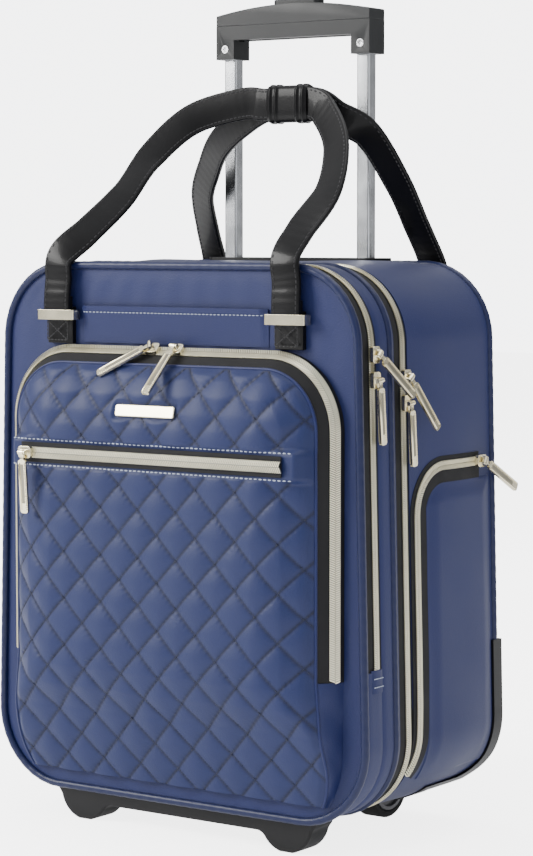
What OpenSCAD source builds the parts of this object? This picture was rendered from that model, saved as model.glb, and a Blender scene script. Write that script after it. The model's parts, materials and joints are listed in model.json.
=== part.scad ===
// Soft rolling laptop case: two wheels, a telescopic trolley, two zipped sections,
// a quilted front pocket and a pair of leather carry straps.
// X runs to the right seen from the front, Y to the back, Z up from the floor.

/* [Body] */
// Width of the case at its widest, near the bottom
body_w = 340; // [280:1:420]
// Height of the soft body, feet left out
body_h = 398; // [330:1:480]
// Depth of the soft body from the front seam to the back face
body_d = 183; // [160:1:240]
// How much each side leans in from the bottom to the top
taper = 10; // [0:0.5:16]
// Radius of the four corners seen from the front
corner_r = 57; // [40:1:70]
// Height of the body above the floor
floor_gap = 26; // [22:0.5:34]
// Thickness of the padded fabric walls
wall = 3; // [2:0.1:4]
// Diameter of the bead along the seams
piping_d = 6; // [4:0.2:7]

/* [Sections] */
// Depth of the front panel in front of its zip
panel_d = 15; // [12:0.5:20]
// Distance from the front seam to the second bead
second_bead = 39; // [32:0.5:48]
// Distance from the second bead to the middle of the main zip
bead_to_zip = 16; // [12:0.5:24]
// Height above the body's bottom where the laptop zip ends
laptop_zip_end = 112; // [108:1:130]
// Height above the body's bottom of the fold of the front panel
fold_h = 105; // [100:1:107]
// Width of one zip coil
coil_w = 9.6; // [8:0.2:10]
// How far a coil stands proud of its tape
coil_t = 1.4; // [1:0.1:2]

/* [Quilted pocket] */
// Distance of each side of the pocket from the widest line of the case
pocket_margin = 20; // [16:0.5:30]
// Distance of the pocket's top edge below the body's top
pocket_drop = 60; // [56:1:72]
// Radius of the pocket's top corners
pocket_r = 57; // [46:1:70]
// How far the pocket's middle stands in front of the seam
pocket_d = 33; // [27:0.5:40]
// Distance of the organiser zip below the pocket's top edge
organiser_drop = 80; // [76:1:96]
// Distance of each end of the organiser zip from the pocket's side
organiser_margin = 31; // [28:0.5:40]
// Width of the plain badge
badge_w = 54; // [40:1:70]

/* [Carry straps] */
// Width of a strap
strap_w = 24; // [20:0.5:30]
// Thickness of a strap
strap_t = 3.6; // [3:0.1:5]
// Distance of each strap's foot from the middle
strap_x = 105; // [95:1:108]
// Distance of the strap's fold below the body's top
fold_drop = 18; // [14:0.5:22]
// Rise of the strap's top above its fold
strap_rise = 138; // [134:1:160]

/* [Trolley] */
// Width of the thinnest tube
post_w = 12; // [10:0.5:14]
// Depth of the thinnest tube
post_d = 10; // [8:0.5:12]
// Visible length of the posts at rest
post_out = 155; // [130:1:190]
// Wall of each tube
tube_wall = 1.2; // [1:0.1:1.4]
// Gap between two tubes, each side
tube_gap = 0.4; // [0.3:0.05:0.5]
// Width of the hand grip
grip_w = 144; // [120:1:173]
// Depth of the hand grip
grip_d = 21; // [18:0.5:26]

/* [Wheels] */
// Radius of each wheel
wheel_r = 27; // [23:0.5:33]
// Width of each wheel
wheel_w = 20; // [16:0.5:24]
// Distance of each wheel's middle from the middle of the case
wheel_x = 84; // [70:0.5:100]
// Radius of the wheel axle
axle_r = 3; // [2.5:0.1:4]

/* [Hidden] */
$fn = 96;

big = 900;
eps = 0.01;
clear = 0.3;

// Depths are measured back from the front seam, heights up from the body's bottom.
front_out = 42;
rear_out = 11;
front_y = -(body_d + rear_out - front_out) / 2;
main_zip = second_bead + bead_to_zip;
pocket_w = body_w - 2 * pocket_margin;
pocket_top = body_h - pocket_drop;
organiser_h = pocket_top - organiser_drop;
organiser_len = pocket_w - 2 * organiser_margin;
badge_drop = 46;
badge_h = pocket_top - badge_drop;
strap_fold = body_h - fold_drop;
post_x = (grip_w - 19) / 2;
tube_d = body_d - 24;
function fy(depth) = front_y + depth;
function hz(height) = floor_gap + height;

tilt = atan(taper / body_h);
corner_lo = hz(corner_r);
corner_hi = hz(body_h - corner_r);
function side_x(z) = body_w / 2 - taper * (z - floor_gap) / body_h;
function corner_x(z) = side_x(z) - corner_r / cos(tilt);

tape_t = 1.6;
bead_out = piping_d / 2 - 0.8;
panel_rim = panel_d - 7;
lid_rim = panel_d + 7;
bead_half = 2.65;
lid_tape = second_bead + bead_half + 0.2;
rear_rim = main_zip + 7;
hinge_zone = corner_r + 1 - body_w / 2;
back_t = 7;
rear_bottom_r = 30;
rear_top_r = 12;

// ---------- shared shapes ----------

// The case seen from the front, drawn inset from the outer skin.
module outline(inset = 0) {
    r = corner_r - inset;
    xl = corner_x(corner_lo);
    xh = corner_x(corner_hi);
    right = [
        [xl, corner_lo - r],
        [xl + r * cos(tilt), corner_lo + r * sin(tilt)],
        [xh + r * cos(tilt), corner_hi + r * sin(tilt)],
        [xh, corner_hi + r]
    ];
    left = [for (i = [3:-1:0]) [-right[i][0], right[i][1]]];
    polygon(concat(right, left));
    for (s = [-1, 1]) {
        translate([s * xl, corner_lo]) circle(r);
        translate([s * xh, corner_hi]) circle(r);
    }
}

pocket_foot = 14;

// The pocket seen from the front: straight foot, rounded top, drawn inset.
module pocket_outline(inset = 0) {
    r = pocket_r - inset;
    half = pocket_w / 2;
    top = hz(pocket_top);
    foot = hz(pocket_foot);
    polygon([
        [-half + inset, foot], [half - inset, foot],
        [half - inset, top - pocket_r], [half - pocket_r, top - inset],
        [-half + pocket_r, top - inset], [-half + inset, top - pocket_r]
    ]);
    for (s = [-1, 1]) translate([s * (half - pocket_r), top - pocket_r]) circle(r);
}

// Extrudes a front view between two depths.
module slab(d0, d1) {
    translate([0, fy(d1), 0]) rotate([90, 0, 0]) linear_extrude(d1 - d0) children();
}

module ring(d0, d1, outer, inner) {
    slab(d0, d1) difference() {
        outline(outer);
        outline(inner);
    }
}

module above(z) {
    translate([-big, -big, z]) cube([2 * big, 2 * big, big]);
}

module below(z) {
    translate([-big, -big, z - big]) cube([2 * big, 2 * big, big]);
}

module right_of(x) {
    translate([x, -big, -big]) cube([big, 2 * big, 2 * big]);
}

module left_of(x) {
    translate([x - big, -big, -big]) cube([big, 2 * big, 2 * big]);
}

// The case seen from the side, with its rounded rear edges.
module side_profile(inset = 0) {
    back = fy(body_d) - inset;
    lo = hz(0) + inset;
    hi = hz(body_h) - inset;
    rb = rear_bottom_r - inset;
    rt = rear_top_r - inset;
    rotate([90, 0, 90]) linear_extrude(big, center = true) {
        translate([-big, lo]) square([big + back - rb, hi - lo]);
        translate([-big, lo + rb]) square([big + back, hi - lo - rb - rt]);
        translate([back - rb - eps, hi - 2 * rt]) square([rb - rt + eps, 2 * rt]);
        translate([back - rb, lo + rb]) circle(rb);
        translate([back - rt, hi - rt]) circle(rt);
    }
}

module rounded_rect(w, h, r) {
    translate([-w / 2 + r, -h / 2]) square([w - 2 * r, h]);
    translate([-w / 2, -h / 2 + r]) square([w, h - 2 * r]);
    for (x = [-1, 1]) for (y = [-1, 1])
        translate([x * (w / 2 - r), y * (h / 2 - r)]) circle(r);
}

// Places a shape on the leaning right side: local X outward, Y back, Z up the side.
module on_side(depth, height, out = 0) {
    translate([side_x(hz(height)), fy(depth), hz(height)])
        rotate([0, -tilt, 0]) translate([out, 0, 0]) children();
}

// A side view drawn as depth and height, laid on the side with a thickness.
module side_plate(t) {
    rotate([90, 0, 90]) linear_extrude(t) children();
}

// ---------- sliders and pulls ----------

slider_w = 9;
slider_l = 12;
slider_h = 3.4;
pin_r = 1;
pin_lift = 2.4;
pull_len = 46;
pull_w = 7;
eye_r = 2;
lug_in = 2.1;
lug_t = 1.2;

// One slider on its coil: local Z outward, local X along the zip.
// The lugs turn by "turn" so that the pull can point away from the zip.
module slider(turn) {
    linear_extrude(slider_h) rounded_rect(slider_l, slider_w, 2.5);
    rotate([0, 0, turn]) {
        for (s = [-1, 1]) hull() {
            translate([s * (lug_in + lug_t / 2), 0, slider_h - eps])
                cube([lug_t, 4, 2 * eps], center = true);
            translate([s * (lug_in + lug_t / 2), 0, slider_h + pin_lift])
                rotate([0, 90, 0]) cylinder(r = 1.7, h = lug_t, center = true, $fn = 32);
        }
        translate([0, 0, slider_h + pin_lift]) rotate([0, 90, 0])
            cylinder(r = pin_r, h = 2 * (lug_in + lug_t), center = true);
    }
}

// One pull, its pin at the origin, its length along local -Y.
module pull() {
    difference() {
        union() {
            rotate([0, 90, 0]) cylinder(r = eye_r, h = 2 * (lug_in - 0.2), center = true);
            translate([-1.6, -6, -0.8]) cube([3.2, 6, 1.6]);
        }
        rotate([0, 90, 0]) cylinder(r = pin_r + 0.07, h = 2 * lug_in, center = true);
    }
    translate([0, -5.5 - (pull_len - 5.5) / 2, -1])
        linear_extrude(2) rounded_rect(pull_w, pull_len - 5.5, 2);
}

// Where each slider stands: place, surface turn, and its pull's own turns.
ramp = 45;
coil_mid = 3.2;
side_lift = coil_t + clear;
organiser_at = [7 - organiser_len / 2, fy(-pocket_d - 2.9), hz(organiser_h)];
pocket_at_z = hz(pocket_top - coil_mid) + 0.5;
pocket_left_at = [-14, fy(-4 - coil_mid) - 0.5, pocket_at_z];
pocket_right_at = [8, fy(-4 - coil_mid) - 0.5, pocket_at_z];
laptop_upper_h = body_h - 62;
laptop_lower_h = body_h - 80;
main_upper_h = body_h - 80;
main_lower_h = body_h - 98;
side_slider_h = body_h - 146;
side_slider_d = body_d - 29;

module organiser_frame() {
    translate(organiser_at) rotate([90, 0, 0]) children();
}

module pocket_frame(at) {
    translate(at) rotate([ramp, 0, 0]) children();
}

// Local Z outward from the right side, local X up the side.
module side_frame(depth, height) {
    on_side(depth, height, side_lift) rotate([0, 90, 0]) rotate([0, 0, 180]) children();
}

module pin_frame(turn, lift) {
    translate([0, 0, slider_h + pin_lift]) rotate([0, 0, turn]) rotate([lift, 0, 0]) children();
}

// How each pull lies: turn about the outward direction, then lift off the face.
organiser_turn = [0, 4];
pocket_left_turn = [-57, 7];
pocket_right_turn = [-3, 2];
laptop_upper_turn = [-42, -8];
laptop_lower_turn = [-84, 2];
main_upper_turn = [-56, -8];
main_lower_turn = [-84, 2];
side_turn = [-30, -4];

// ---------- carcass ----------

module wheel_well(grow) {
    for (s = [-1, 1]) translate([s * wheel_x, fy(well_d), hz(0)])
        cube([well_w + 2 * grow, well_l + 2 * grow, 2 * (well_h + grow)], center = true);
}

well_w = wheel_w + 12;
well_l = 2 * wheel_r + 8;
well_h = 2 * wheel_r - floor_gap + 4;
well_d = body_d - 35;

module trolley_hole(grow) {
    for (s = [-1, 1]) translate([s * post_x, fy(tube_d), hz(body_h)])
        cube([outer_w + 2 * grow, outer_d + 2 * grow, 40], center = true);
}

module rear_shell() {
    color("#4a5885") {
        difference() {
            intersection() {
                slab(rear_rim + 0.2, body_d - back_t - 0.2) outline(0);
                side_profile(0);
            }
            intersection() {
                slab(rear_rim - 1, body_d - back_t + 1) outline(wall);
                side_profile(wall);
            }
            wheel_well(0.2);
            trolley_hole(0.2);
        }
        intersection() {
            ring(main_zip + clear / 2, rear_rim + 0.2 + eps, 0, wall);
            left_of(hinge_zone);
        }
    }
}

module back_panel() {
    color("#42507c") difference() {
        intersection() {
            slab(body_d - back_t, body_d) outline(0);
            side_profile(0);
        }
        wheel_well(0.2);
    }
}

// Tape and half coil of the main zip; it stops short of the hinge on the left.
module main_zip_half(d0, d1, c0, c1) {
    intersection() {
        union() {
            ring(d0, d1, 0, tape_t);
            ring(c0, c1, -coil_t, eps);
        }
        right_of(hinge_zone + clear);
    }
}

module main_zip_rear() {
    color("#26272b") main_zip_half(main_zip + clear / 2, rear_rim, main_zip + clear / 2,
                                   main_zip + coil_w / 2);
}

side_zip_d = main_zip + 14;
side_zip_w = 16;
side_bend_r = 36;
side_zip_foot = 60;

module side_pocket_path(w) {
    h = side_slider_h - side_bend_r - side_zip_foot;
    translate([side_zip_d - w / 2, side_zip_foot]) square([w, h]);
    translate([side_zip_d + side_bend_r, side_slider_h - side_bend_r]) difference() {
        circle(side_bend_r + w / 2);
        circle(side_bend_r - w / 2);
        translate([0, -big]) square([big, 2 * big]);
        translate([-big, -big]) square([2 * big, big]);
    }
    translate([side_zip_d + side_bend_r, side_slider_h - w / 2])
        square([side_slider_d + 6 - side_zip_d - side_bend_r, w]);
}

module side_pocket_area() {
    translate([side_zip_d, side_zip_foot])
        square([side_slider_d + 14 - side_zip_d, side_slider_h - side_zip_foot - side_bend_r]);
    translate([side_zip_d + side_bend_r, side_slider_h - side_bend_r]) {
        circle(side_bend_r);
        square([side_slider_d + 14 - side_zip_d - side_bend_r, side_bend_r]);
    }
}

// Side views are drawn in depth and height, so the frame sits at their origin.
module on_side_drawing(out) {
    translate([side_x(hz(0)), fy(0), hz(0)]) rotate([0, -tilt, 0])
        translate([out, 0, 0]) children();
}

module side_pocket_panel() {
    color("#48568a") on_side_drawing(0.1) side_plate(1.2) difference() {
        side_pocket_area();
        side_pocket_path(side_zip_w + 0.2);
    }
}

module side_pocket_zip() {
    color("#26272b") on_side_drawing(0.1) {
        side_plate(1.2) side_pocket_path(side_zip_w);
        translate([0.6, 0, 0]) side_plate(0.6 + coil_t) side_pocket_path(coil_w * 0.8);
    }
}

module side_slider_frame() {
    on_side_drawing(1.3 + coil_t + clear)
        translate([0, side_slider_d, side_slider_h])
            rotate([0, 90, 0]) rotate([0, 0, 180]) children();
}

module rear_fixed_sliders() {
    color("#d9d2b4") {
        side_frame(main_zip, main_upper_h) slider(main_upper_turn[0]);
        side_slider_frame() rotate([0, 0, 90]) slider(side_turn[0] - 90);
    }
}

// ---------- trolley ----------

middle_w = post_w + 2 * (tube_wall + tube_gap);
middle_d = post_d + 2 * (tube_wall + tube_gap);
outer_w = middle_w + 2 * (tube_wall + tube_gap);
outer_d = middle_d + 2 * (tube_wall + tube_gap);
tube_foot = well_h + 4;
bezel_t = 4;
bezel_rim = 7;
grip_foot = body_h + bezel_t + post_out;

module tube_pair(w, d, z0, z1) {
    for (s = [-1, 1]) translate([s * post_x, fy(tube_d), z0]) linear_extrude(z1 - z0)
        difference() {
            rounded_rect(w, d, 2);
            rounded_rect(w - 2 * tube_wall, d - 2 * tube_wall, 1.2);
        }
}

module outer_tubes() {
    color("#5a5c60") {
        tube_pair(outer_w, outer_d, hz(tube_foot), hz(body_h) + 1);
        for (s = [-1, 1]) translate([s * post_x, fy(tube_d), hz(tube_foot) - 3])
            linear_extrude(3) rounded_rect(outer_w, outer_d, 2);
    }
}

module trolley_bezel() {
    color("#2b2c2f") difference() {
        translate([0, fy(tube_d), hz(body_h) + 0.1]) linear_extrude(bezel_t)
            rounded_rect(2 * post_x + outer_w + 2 * bezel_rim + 1.6, outer_d + 2 * bezel_rim - 0.4, 8);
        for (s = [-1, 1]) translate([s * post_x, fy(tube_d), hz(body_h) - 1])
            linear_extrude(10) rounded_rect(outer_w + 0.4, outer_d + 0.4, 2.2);
    }
}

module middle_tubes() {
    color("#9a9da3") tube_pair(middle_w, middle_d, hz(tube_foot) + 1, hz(body_h) + 2);
}

inner_len = body_h - 26;

module inner_tubes() {
    color("#b9bcc2") tube_pair(post_w, post_d, hz(grip_foot + 6 - inner_len), hz(grip_foot) + 6);
}

bar_foot = 15;
bar_end_h = 19;
arch_rise = 7;
leg_w = post_w + 5;
part_line = bar_foot + 11;
button_w = 44;
button_d = 11;

// Front view of the whole grip, from the foot of its legs up.
module grip_view() {
    arch_r = (pow(grip_w / 2, 2) + pow(arch_rise, 2)) / (2 * arch_rise);
    top = bar_foot + bar_end_h;
    for (s = [-1, 1]) translate([s * (grip_w - leg_w) / 2 - leg_w / 2, 0])
        square([leg_w, bar_foot + eps]);
    intersection() {
        translate([0, (bar_foot + top + arch_rise) / 2])
            rounded_rect(grip_w, bar_end_h + arch_rise, 9);
        translate([0, top + arch_rise - arch_r]) circle(arch_r, $fn = 360);
    }
    translate([-grip_w / 2, bar_foot]) square([leg_w, 9]);
    translate([grip_w / 2 - leg_w, bar_foot]) square([leg_w, 9]);
}

module grip_body() {
    translate([0, fy(tube_d) + grip_d / 2, hz(grip_foot)]) rotate([90, 0, 0])
        linear_extrude(grip_d) grip_view();
}

module button_well(grow) {
    translate([0, fy(tube_d), hz(grip_foot + bar_foot + 4)])
        linear_extrude(40) rounded_rect(button_w + 2 * grow, button_d + 2 * grow, 5 + grow);
}

rod_r = 1.8;
rod_len = inner_len - 42;

module grip_hollows() {
    button_well(0.6);
    translate([-post_x - 4, fy(tube_d) - 3.4, hz(grip_foot + bar_foot) - 0.6])
        cube([2 * post_x + 8, 6.8, 11]);
    for (s = [-1, 1]) translate([s * post_x, fy(tube_d), hz(grip_foot) - 1])
        linear_extrude(bar_foot + 2) rounded_rect(post_w + 0.1, post_d + 0.1, 2.05);
}

screw_r = 3.2;

module screw_holes() {
    for (s = [-1, 1])
        translate([s * (grip_w / 2 - leg_w / 2), fy(tube_d) - grip_d / 2 - 1, hz(grip_foot) + 8])
            rotate([-90, 0, 0]) cylinder(r = screw_r + 0.2, h = 2.2);
}

module grip_base() {
    color("#5d6063") difference() {
        intersection() {
            grip_body();
            below(hz(grip_foot + part_line));
        }
        grip_hollows();
        screw_holes();
    }
}

module grip_cap() {
    color("#63666a") difference() {
        intersection() {
            grip_body();
            above(hz(grip_foot + part_line) + 0.1);
        }
        grip_hollows();
    }
}

module grip_screws() {
    color("#c8cacd") for (s = [-1, 1])
        translate([s * (grip_w / 2 - leg_w / 2), fy(tube_d) - grip_d / 2 - 0.2, hz(grip_foot) + 8])
            rotate([-90, 0, 0]) difference() {
                cylinder(r = screw_r, h = 1.3);
                translate([0, 0, 0.3]) for (a = [0, 90]) rotate([0, 0, a])
                    cube([3.6, 0.8, 1.2], center = true);
            }
}

module release_button() {
    top = hz(grip_foot + bar_foot + bar_end_h + arch_rise);
    color("#4c4f52") translate([0, fy(tube_d), top - 9])
        linear_extrude(13) rounded_rect(button_w, button_d, 5);
}

module push_rods() {
    top = hz(grip_foot + bar_foot + bar_end_h + arch_rise) - 9;
    bridge_z = hz(grip_foot + bar_foot + 7);
    color("#8a8d92") {
        translate([0, fy(tube_d), bridge_z]) cube([2 * (post_x + rod_r), 4, 4], center = true);
        translate([0, fy(tube_d), (bridge_z + top) / 2])
            cube([30, 4, top - bridge_z - 0.1], center = true);
        for (s = [-1, 1]) translate([s * post_x, fy(tube_d), bridge_z - rod_len])
            cylinder(r = rod_r, h = rod_len);
    }
}

// ---------- wheels and base ----------

guard_t = 2.2;
guard_front = body_d - 69;
guard_in = body_w / 2 - 54;
guard_lap = 8;
guard_band = 10;
guard_top = 117;

// Side view of the corner guard: a band along the bottom and up the back.
module guard_view() {
    back = fy(body_d) + guard_t;
    lo = hz(0) - guard_t;
    r = rear_bottom_r + guard_t;
    difference() {
        union() {
            translate([fy(guard_front), lo]) square([back - r - fy(guard_front), guard_top]);
            translate([back - r - eps, lo + r]) square([r + eps, guard_top - r]);
            translate([back - r, lo + r]) circle(r);
        }
        translate([fy(guard_front) - 1, hz(guard_band)])
            square([body_d - guard_front - guard_band - 20 + 1, big]);
        translate([fy(guard_front) - 1, hz(guard_band + 20)])
            square([body_d - guard_front - guard_band + 1, big]);
        translate([fy(body_d - guard_band - 20), hz(guard_band + 20)]) circle(20);
    }
}

module corner_guards() {
    difference() {
        intersection() {
            slab(guard_front, body_d + guard_t) outline(-guard_t);
            rotate([90, 0, 90]) linear_extrude(big, center = true) guard_view();
        }
        intersection() {
            slab(0, body_d + 0.2) outline(-0.2);
            side_profile(-0.2);
        }
        translate([-guard_in, -big, -big]) cube([2 * guard_in, 2 * big, 2 * big]);
    }
}

module wheel_housings() {
    arm_end = guard_in + guard_lap;
    color("#2c2e31") {
        corner_guards();
        difference() {
            union() {
                for (s = [-1, 1]) {
                    translate([s * wheel_x, fy(well_d), hz(0) + (well_h - 9) / 2])
                        cube([well_w, well_l, well_h + 9], center = true);
                    translate([s * (wheel_x + arm_end) / 2, fy(guard_front) + 18,
                               hz(0) - (guard_t + 0.2) / 2])
                        cube([arm_end - wheel_x, 36, guard_t - 0.2], center = true);
                }
            }
            for (s = [-1, 1]) translate([s * wheel_x, fy(well_d), hz(0)]) {
                cube([wheel_w + 3, 2 * wheel_r + 4, 2 * (well_h - 2.5)], center = true);
                translate([0, 0, wheel_r - floor_gap]) rotate([0, 90, 0])
                    cylinder(r = axle_r + 0.05, h = well_w + 2, center = true);
            }
        }
    }
}

module wheel_axles() {
    color("#a7aab0") for (s = [-1, 1])
        translate([s * wheel_x, fy(well_d), wheel_r]) rotate([0, 90, 0]) {
            cylinder(r = axle_r, h = well_w - 0.4, center = true);
            for (e = [-1, 1]) translate([0, 0, e * (wheel_w / 2 + 0.8)])
                cylinder(r = axle_r + 1.6, h = 1, center = true);
        }
}

module hub(s) {
    translate([s * wheel_x, fy(well_d), wheel_r]) rotate([0, 90, 0]) difference() {
        cylinder(r = wheel_r - 6, h = wheel_w, center = true);
        cylinder(r = axle_r + 0.05, h = wheel_w + 2, center = true);
        for (e = [-1, 1]) translate([0, 0, e * wheel_w / 2]) difference() {
            cylinder(r = wheel_r - 9, h = 6, center = true);
            cylinder(r = axle_r + 4, h = 7, center = true);
        }
    }
}

module tyre(s) {
    translate([s * wheel_x, fy(well_d), wheel_r]) rotate([0, 90, 0]) rotate_extrude()
        difference() {
            translate([(2 * wheel_r - 6) / 2, 0]) rounded_rect(6, wheel_w - 1, 2.5);
            translate([0, -wheel_w]) square([wheel_r - 6, 2 * wheel_w]);
        }
}

foot_half = body_w / 2 - 49;
foot_lobe_x = foot_half - 27;
foot_lobe_r = 23;
foot_mid_h = 13;
foot_d0 = 7;
foot_len = 24;

module foot_bar() {
    color("#26282b") slab(foot_d0, foot_d0 + foot_len) intersection() {
        translate([-big, 0]) square([2 * big, hz(0) - 0.2]);
        offset(r = -9) offset(delta = 9) {
            polygon([
                [-foot_half, hz(0) + 20], [foot_half, hz(0) + 20], [foot_half - 1, hz(0) - 4],
                [foot_half - 8, hz(0) - foot_mid_h], [8 - foot_half, hz(0) - foot_mid_h],
                [1 - foot_half, hz(0) - 4]
            ]);
            for (s = [-1, 1]) translate([s * foot_lobe_x, foot_lobe_r - 0.6]) circle(foot_lobe_r);
        }
    }
}

// ---------- lid section ----------

module lid_gusset() {
    color("#46547f") {
        ring(lid_rim + 0.2, second_bead - bead_half - 0.2, 0, wall);
        intersection() {
            ring(piping_d / 2 + 0.2, lid_rim + 0.2 + eps, 0, wall);
            below(hz(fold_h) - clear);
        }
        intersection() {
            slab(0, piping_d / 2) outline(wall + 0.4);
            below(hz(fold_h) - clear);
        }
        intersection() {
            ring(lid_tape, main_zip - clear / 2, 0, wall);
            left_of(hinge_zone);
        }
    }
}

module lid_divider() {
    color("#3a3d46") slab(lid_tape + 1, lid_tape + 3.5) outline(wall + 0.4);
}

sleeve_w = body_w - 56;
sleeve_top = body_h - 98;

module laptop_sleeve() {
    d0 = panel_d + 3;
    color("#33353b") difference() {
        slab(d0, lid_tape + 0.8) translate([0, hz(12) + (sleeve_top - 12) / 2])
            rounded_rect(sleeve_w, sleeve_top - 12, 12);
        translate([-sleeve_w / 2 + 5, fy(d0 + 4), hz(18)])
            cube([sleeve_w - 10, lid_tape - d0 - 5, big]);
    }
}

module bead(d) {
    ring(d - bead_half, d + bead_half, -bead_out, wall);
}

module lid_piping() {
    color("#2f3f74") {
        bead(second_bead);
        intersection() {
            ring(-piping_d / 2, piping_d / 2, -bead_out, wall);
            below(hz(fold_h) - clear);
        }
    }
}

module main_zip_lid() {
    color("#26272b") main_zip_half(lid_tape, main_zip - clear / 2, main_zip - coil_w / 2,
                                   main_zip - clear / 2);
}

module laptop_zip_half(d0, d1, c0, c1) {
    intersection() {
        union() {
            ring(d0, d1, 0, tape_t);
            ring(c0, c1, -coil_t, eps);
        }
        above(hz(laptop_zip_end));
    }
}

module laptop_zip_lid() {
    color("#26272b") laptop_zip_half(panel_d + clear / 2, lid_rim, panel_d + clear / 2,
                                     panel_d + coil_w / 2);
}

module laptop_slider_upper() {
    color("#d9d2b4") side_frame(panel_d, laptop_upper_h) slider(laptop_upper_turn[0]);
}

ramp_foot = -17;
ramp_in = 13;
dome_rise = 5;
dome_in = pocket_r - 23;
dome_run = 22.5;

// The quilted pocket's outer form: a convex cushion fading into the bottom bead.
module quilt_form(shrink) {
    strip_half = pocket_w / 2 - 22;
    hull() {
        slab(-4, -clear) intersection() {
            pocket_outline(shrink);
            translate([-big, hz(20 + shrink)]) square([2 * big, big]);
        }
        slab(ramp_foot + shrink, ramp_foot + shrink + eps) intersection() {
            pocket_outline(ramp_in + shrink);
            translate([-big, hz(66)]) square([2 * big, big]);
        }
        slab(-pocket_d + dome_rise + shrink, -pocket_d + dome_rise + shrink + eps) intersection() {
            pocket_outline(dome_in);
            translate([-big, hz(84)]) square([2 * big, big]);
        }
        slab(-pocket_d + shrink, -pocket_d + shrink + eps) intersection() {
            pocket_outline(dome_in + dome_run);
            translate([-big, hz(112)]) square([2 * big, big]);
        }
        slab(-3, -clear) translate([shrink - strip_half, hz(pocket_foot + shrink)])
            square([2 * (strip_half - shrink), 4]);
    }
}

quilt_t = 3.5;

module quilted_panel_lower() {
    color("#445482") intersection() {
        difference() {
            quilt_form(0);
            quilt_form(quilt_t);
            translate([0, -clear + 0.05, 0]) quilt_form(quilt_t);
        }
        below(hz(fold_h) - clear);
    }
}

// ---------- front panel ----------

module front_panel() {
    color("#4a5a8a") intersection() {
        union() {
            slab(0, piping_d / 2) outline(wall + 0.2);
            ring(piping_d / 2 + 0.2, panel_rim - 0.1, 0, wall);
        }
        above(hz(fold_h));
    }
}

module front_piping() {
    color("#2f3f74") intersection() {
        ring(-piping_d / 2, piping_d / 2, -bead_out, wall);
        above(hz(fold_h));
    }
}

module laptop_zip_panel() {
    color("#26272b") laptop_zip_half(panel_rim, panel_d - clear / 2, panel_d - coil_w / 2,
                                     panel_d - clear / 2);
}

// A sloping ring of the pocket's gusset between two insets and depths.
module slope_ring(inset0, d0, inset1, d1, t) {
    difference() {
        hull() {
            slab(d0 - eps, d0) pocket_outline(inset0);
            slab(d1, d1 + eps) pocket_outline(inset1);
        }
        hull() {
            slab(d0 - 2 * eps, d0 + 1) pocket_outline(inset0 + t);
            slab(d1 - 1, d1 + 2 * eps) pocket_outline(inset1 + t);
        }
    }
}

module pocket_zip_base() {
    color("#26272b") intersection() {
        union() {
            slab(-4, -0.2) difference() {
                pocket_outline(0);
                pocket_outline(2);
            }
            slope_ring(0, -4, coil_mid - 0.2, 0.2 - 4 - coil_mid, 2);
        }
        above(hz(fold_h));
    }
}

slot_w = 2 * strap_x - strap_w - 16;
slot_top = body_h - 31;
slot_foot = pocket_top + 4.5;

module slot_pocket() {
    color("#46548a") difference() {
        translate([-slot_w / 2, fy(-6.6), hz(slot_foot)]) cube([slot_w, 6.5, slot_top - slot_foot]);
        translate([-slot_w / 2 + 2, fy(-5.1), hz(slot_foot) + 2]) cube([slot_w - 4, 6, big]);
    }
}

tab_foot = pocket_top + 0.6;
tab_t = 4.6;
loop_z = body_h - 38;
loop_w = strap_w + 11;
loop_h = 7.4;
loop_depth = 2 * strap_t + 2.8;
strap_d = tab_t - 0.4 + strap_t / 2;
fold_gap = 6;

// A leather tab on the face, running up through its loop to the strap's fold.
module anchor_tab(face, out) {
    for (s = [-1, 1]) {
        translate([s * strap_x - strap_w / 2, min(face, face + tab_t * out), hz(tab_foot)])
            cube([strap_w, tab_t, loop_z + 6 - tab_foot]);
        translate([s * strap_x - strap_w / 2, face + out * strap_d - strap_t / 2, hz(loop_z + 2)])
            cube([strap_w, strap_t, strap_fold - fold_gap - loop_z - 2]);
    }
}

module loops(face, out) {
    for (s = [-1, 1])
        translate([s * strap_x, face + out * (strap_d + 0.4), hz(loop_z) - loop_h / 2])
        linear_extrude(loop_h) difference() {
            rounded_rect(loop_w, loop_depth, 2);
            rounded_rect(loop_w - 6, loop_depth - 3, 1);
        }
}

module front_anchor_tabs() {
    color("#222326") difference() {
        anchor_tab(fy(-0.1), -1);
        loop_clear(fy(-0.1), -1);
    }
}

// Room for the loop's inner bar behind the tab.
module loop_clear(face, out) {
    for (s = [-1, 1])
        translate([s * strap_x, face + out * (strap_d + 0.4), hz(loop_z) - loop_h / 2 - 0.1])
        linear_extrude(loop_h + 0.2) difference() {
            rounded_rect(loop_w + 0.2, loop_depth + 0.2, 2.1);
            rounded_rect(loop_w - 6.2, loop_depth - 3.2, 0.9);
        }
}

module front_loops() {
    color("#d9d2b4") loops(fy(-0.1), -1);
}

module rear_anchor_tabs() {
    color("#222326") difference() {
        anchor_tab(fy(body_d + 0.1), 1);
        loop_clear(fy(body_d + 0.1), 1);
    }
}

module rear_loops() {
    color("#d9d2b4") loops(fy(body_d + 0.1), 1);
}

// ---------- pocket flap ----------

module quilted_panel() {
    color("#4a5c90") intersection() {
        difference() {
            quilt_form(0);
            quilt_form(quilt_t);
        }
        translate([-big, fy(ramp_foot) - big + 0.01, -big]) cube([2 * big, big, 2 * big]);
        above(hz(fold_h) + clear);
    }
}

module pocket_zip_flap() {
    color("#26272b") intersection() {
        slope_ring(coil_mid + 0.2, -4 - coil_mid - 0.2, ramp_in, ramp_foot + 0.2, 2);
        above(hz(fold_h) + clear);
    }
}

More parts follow.
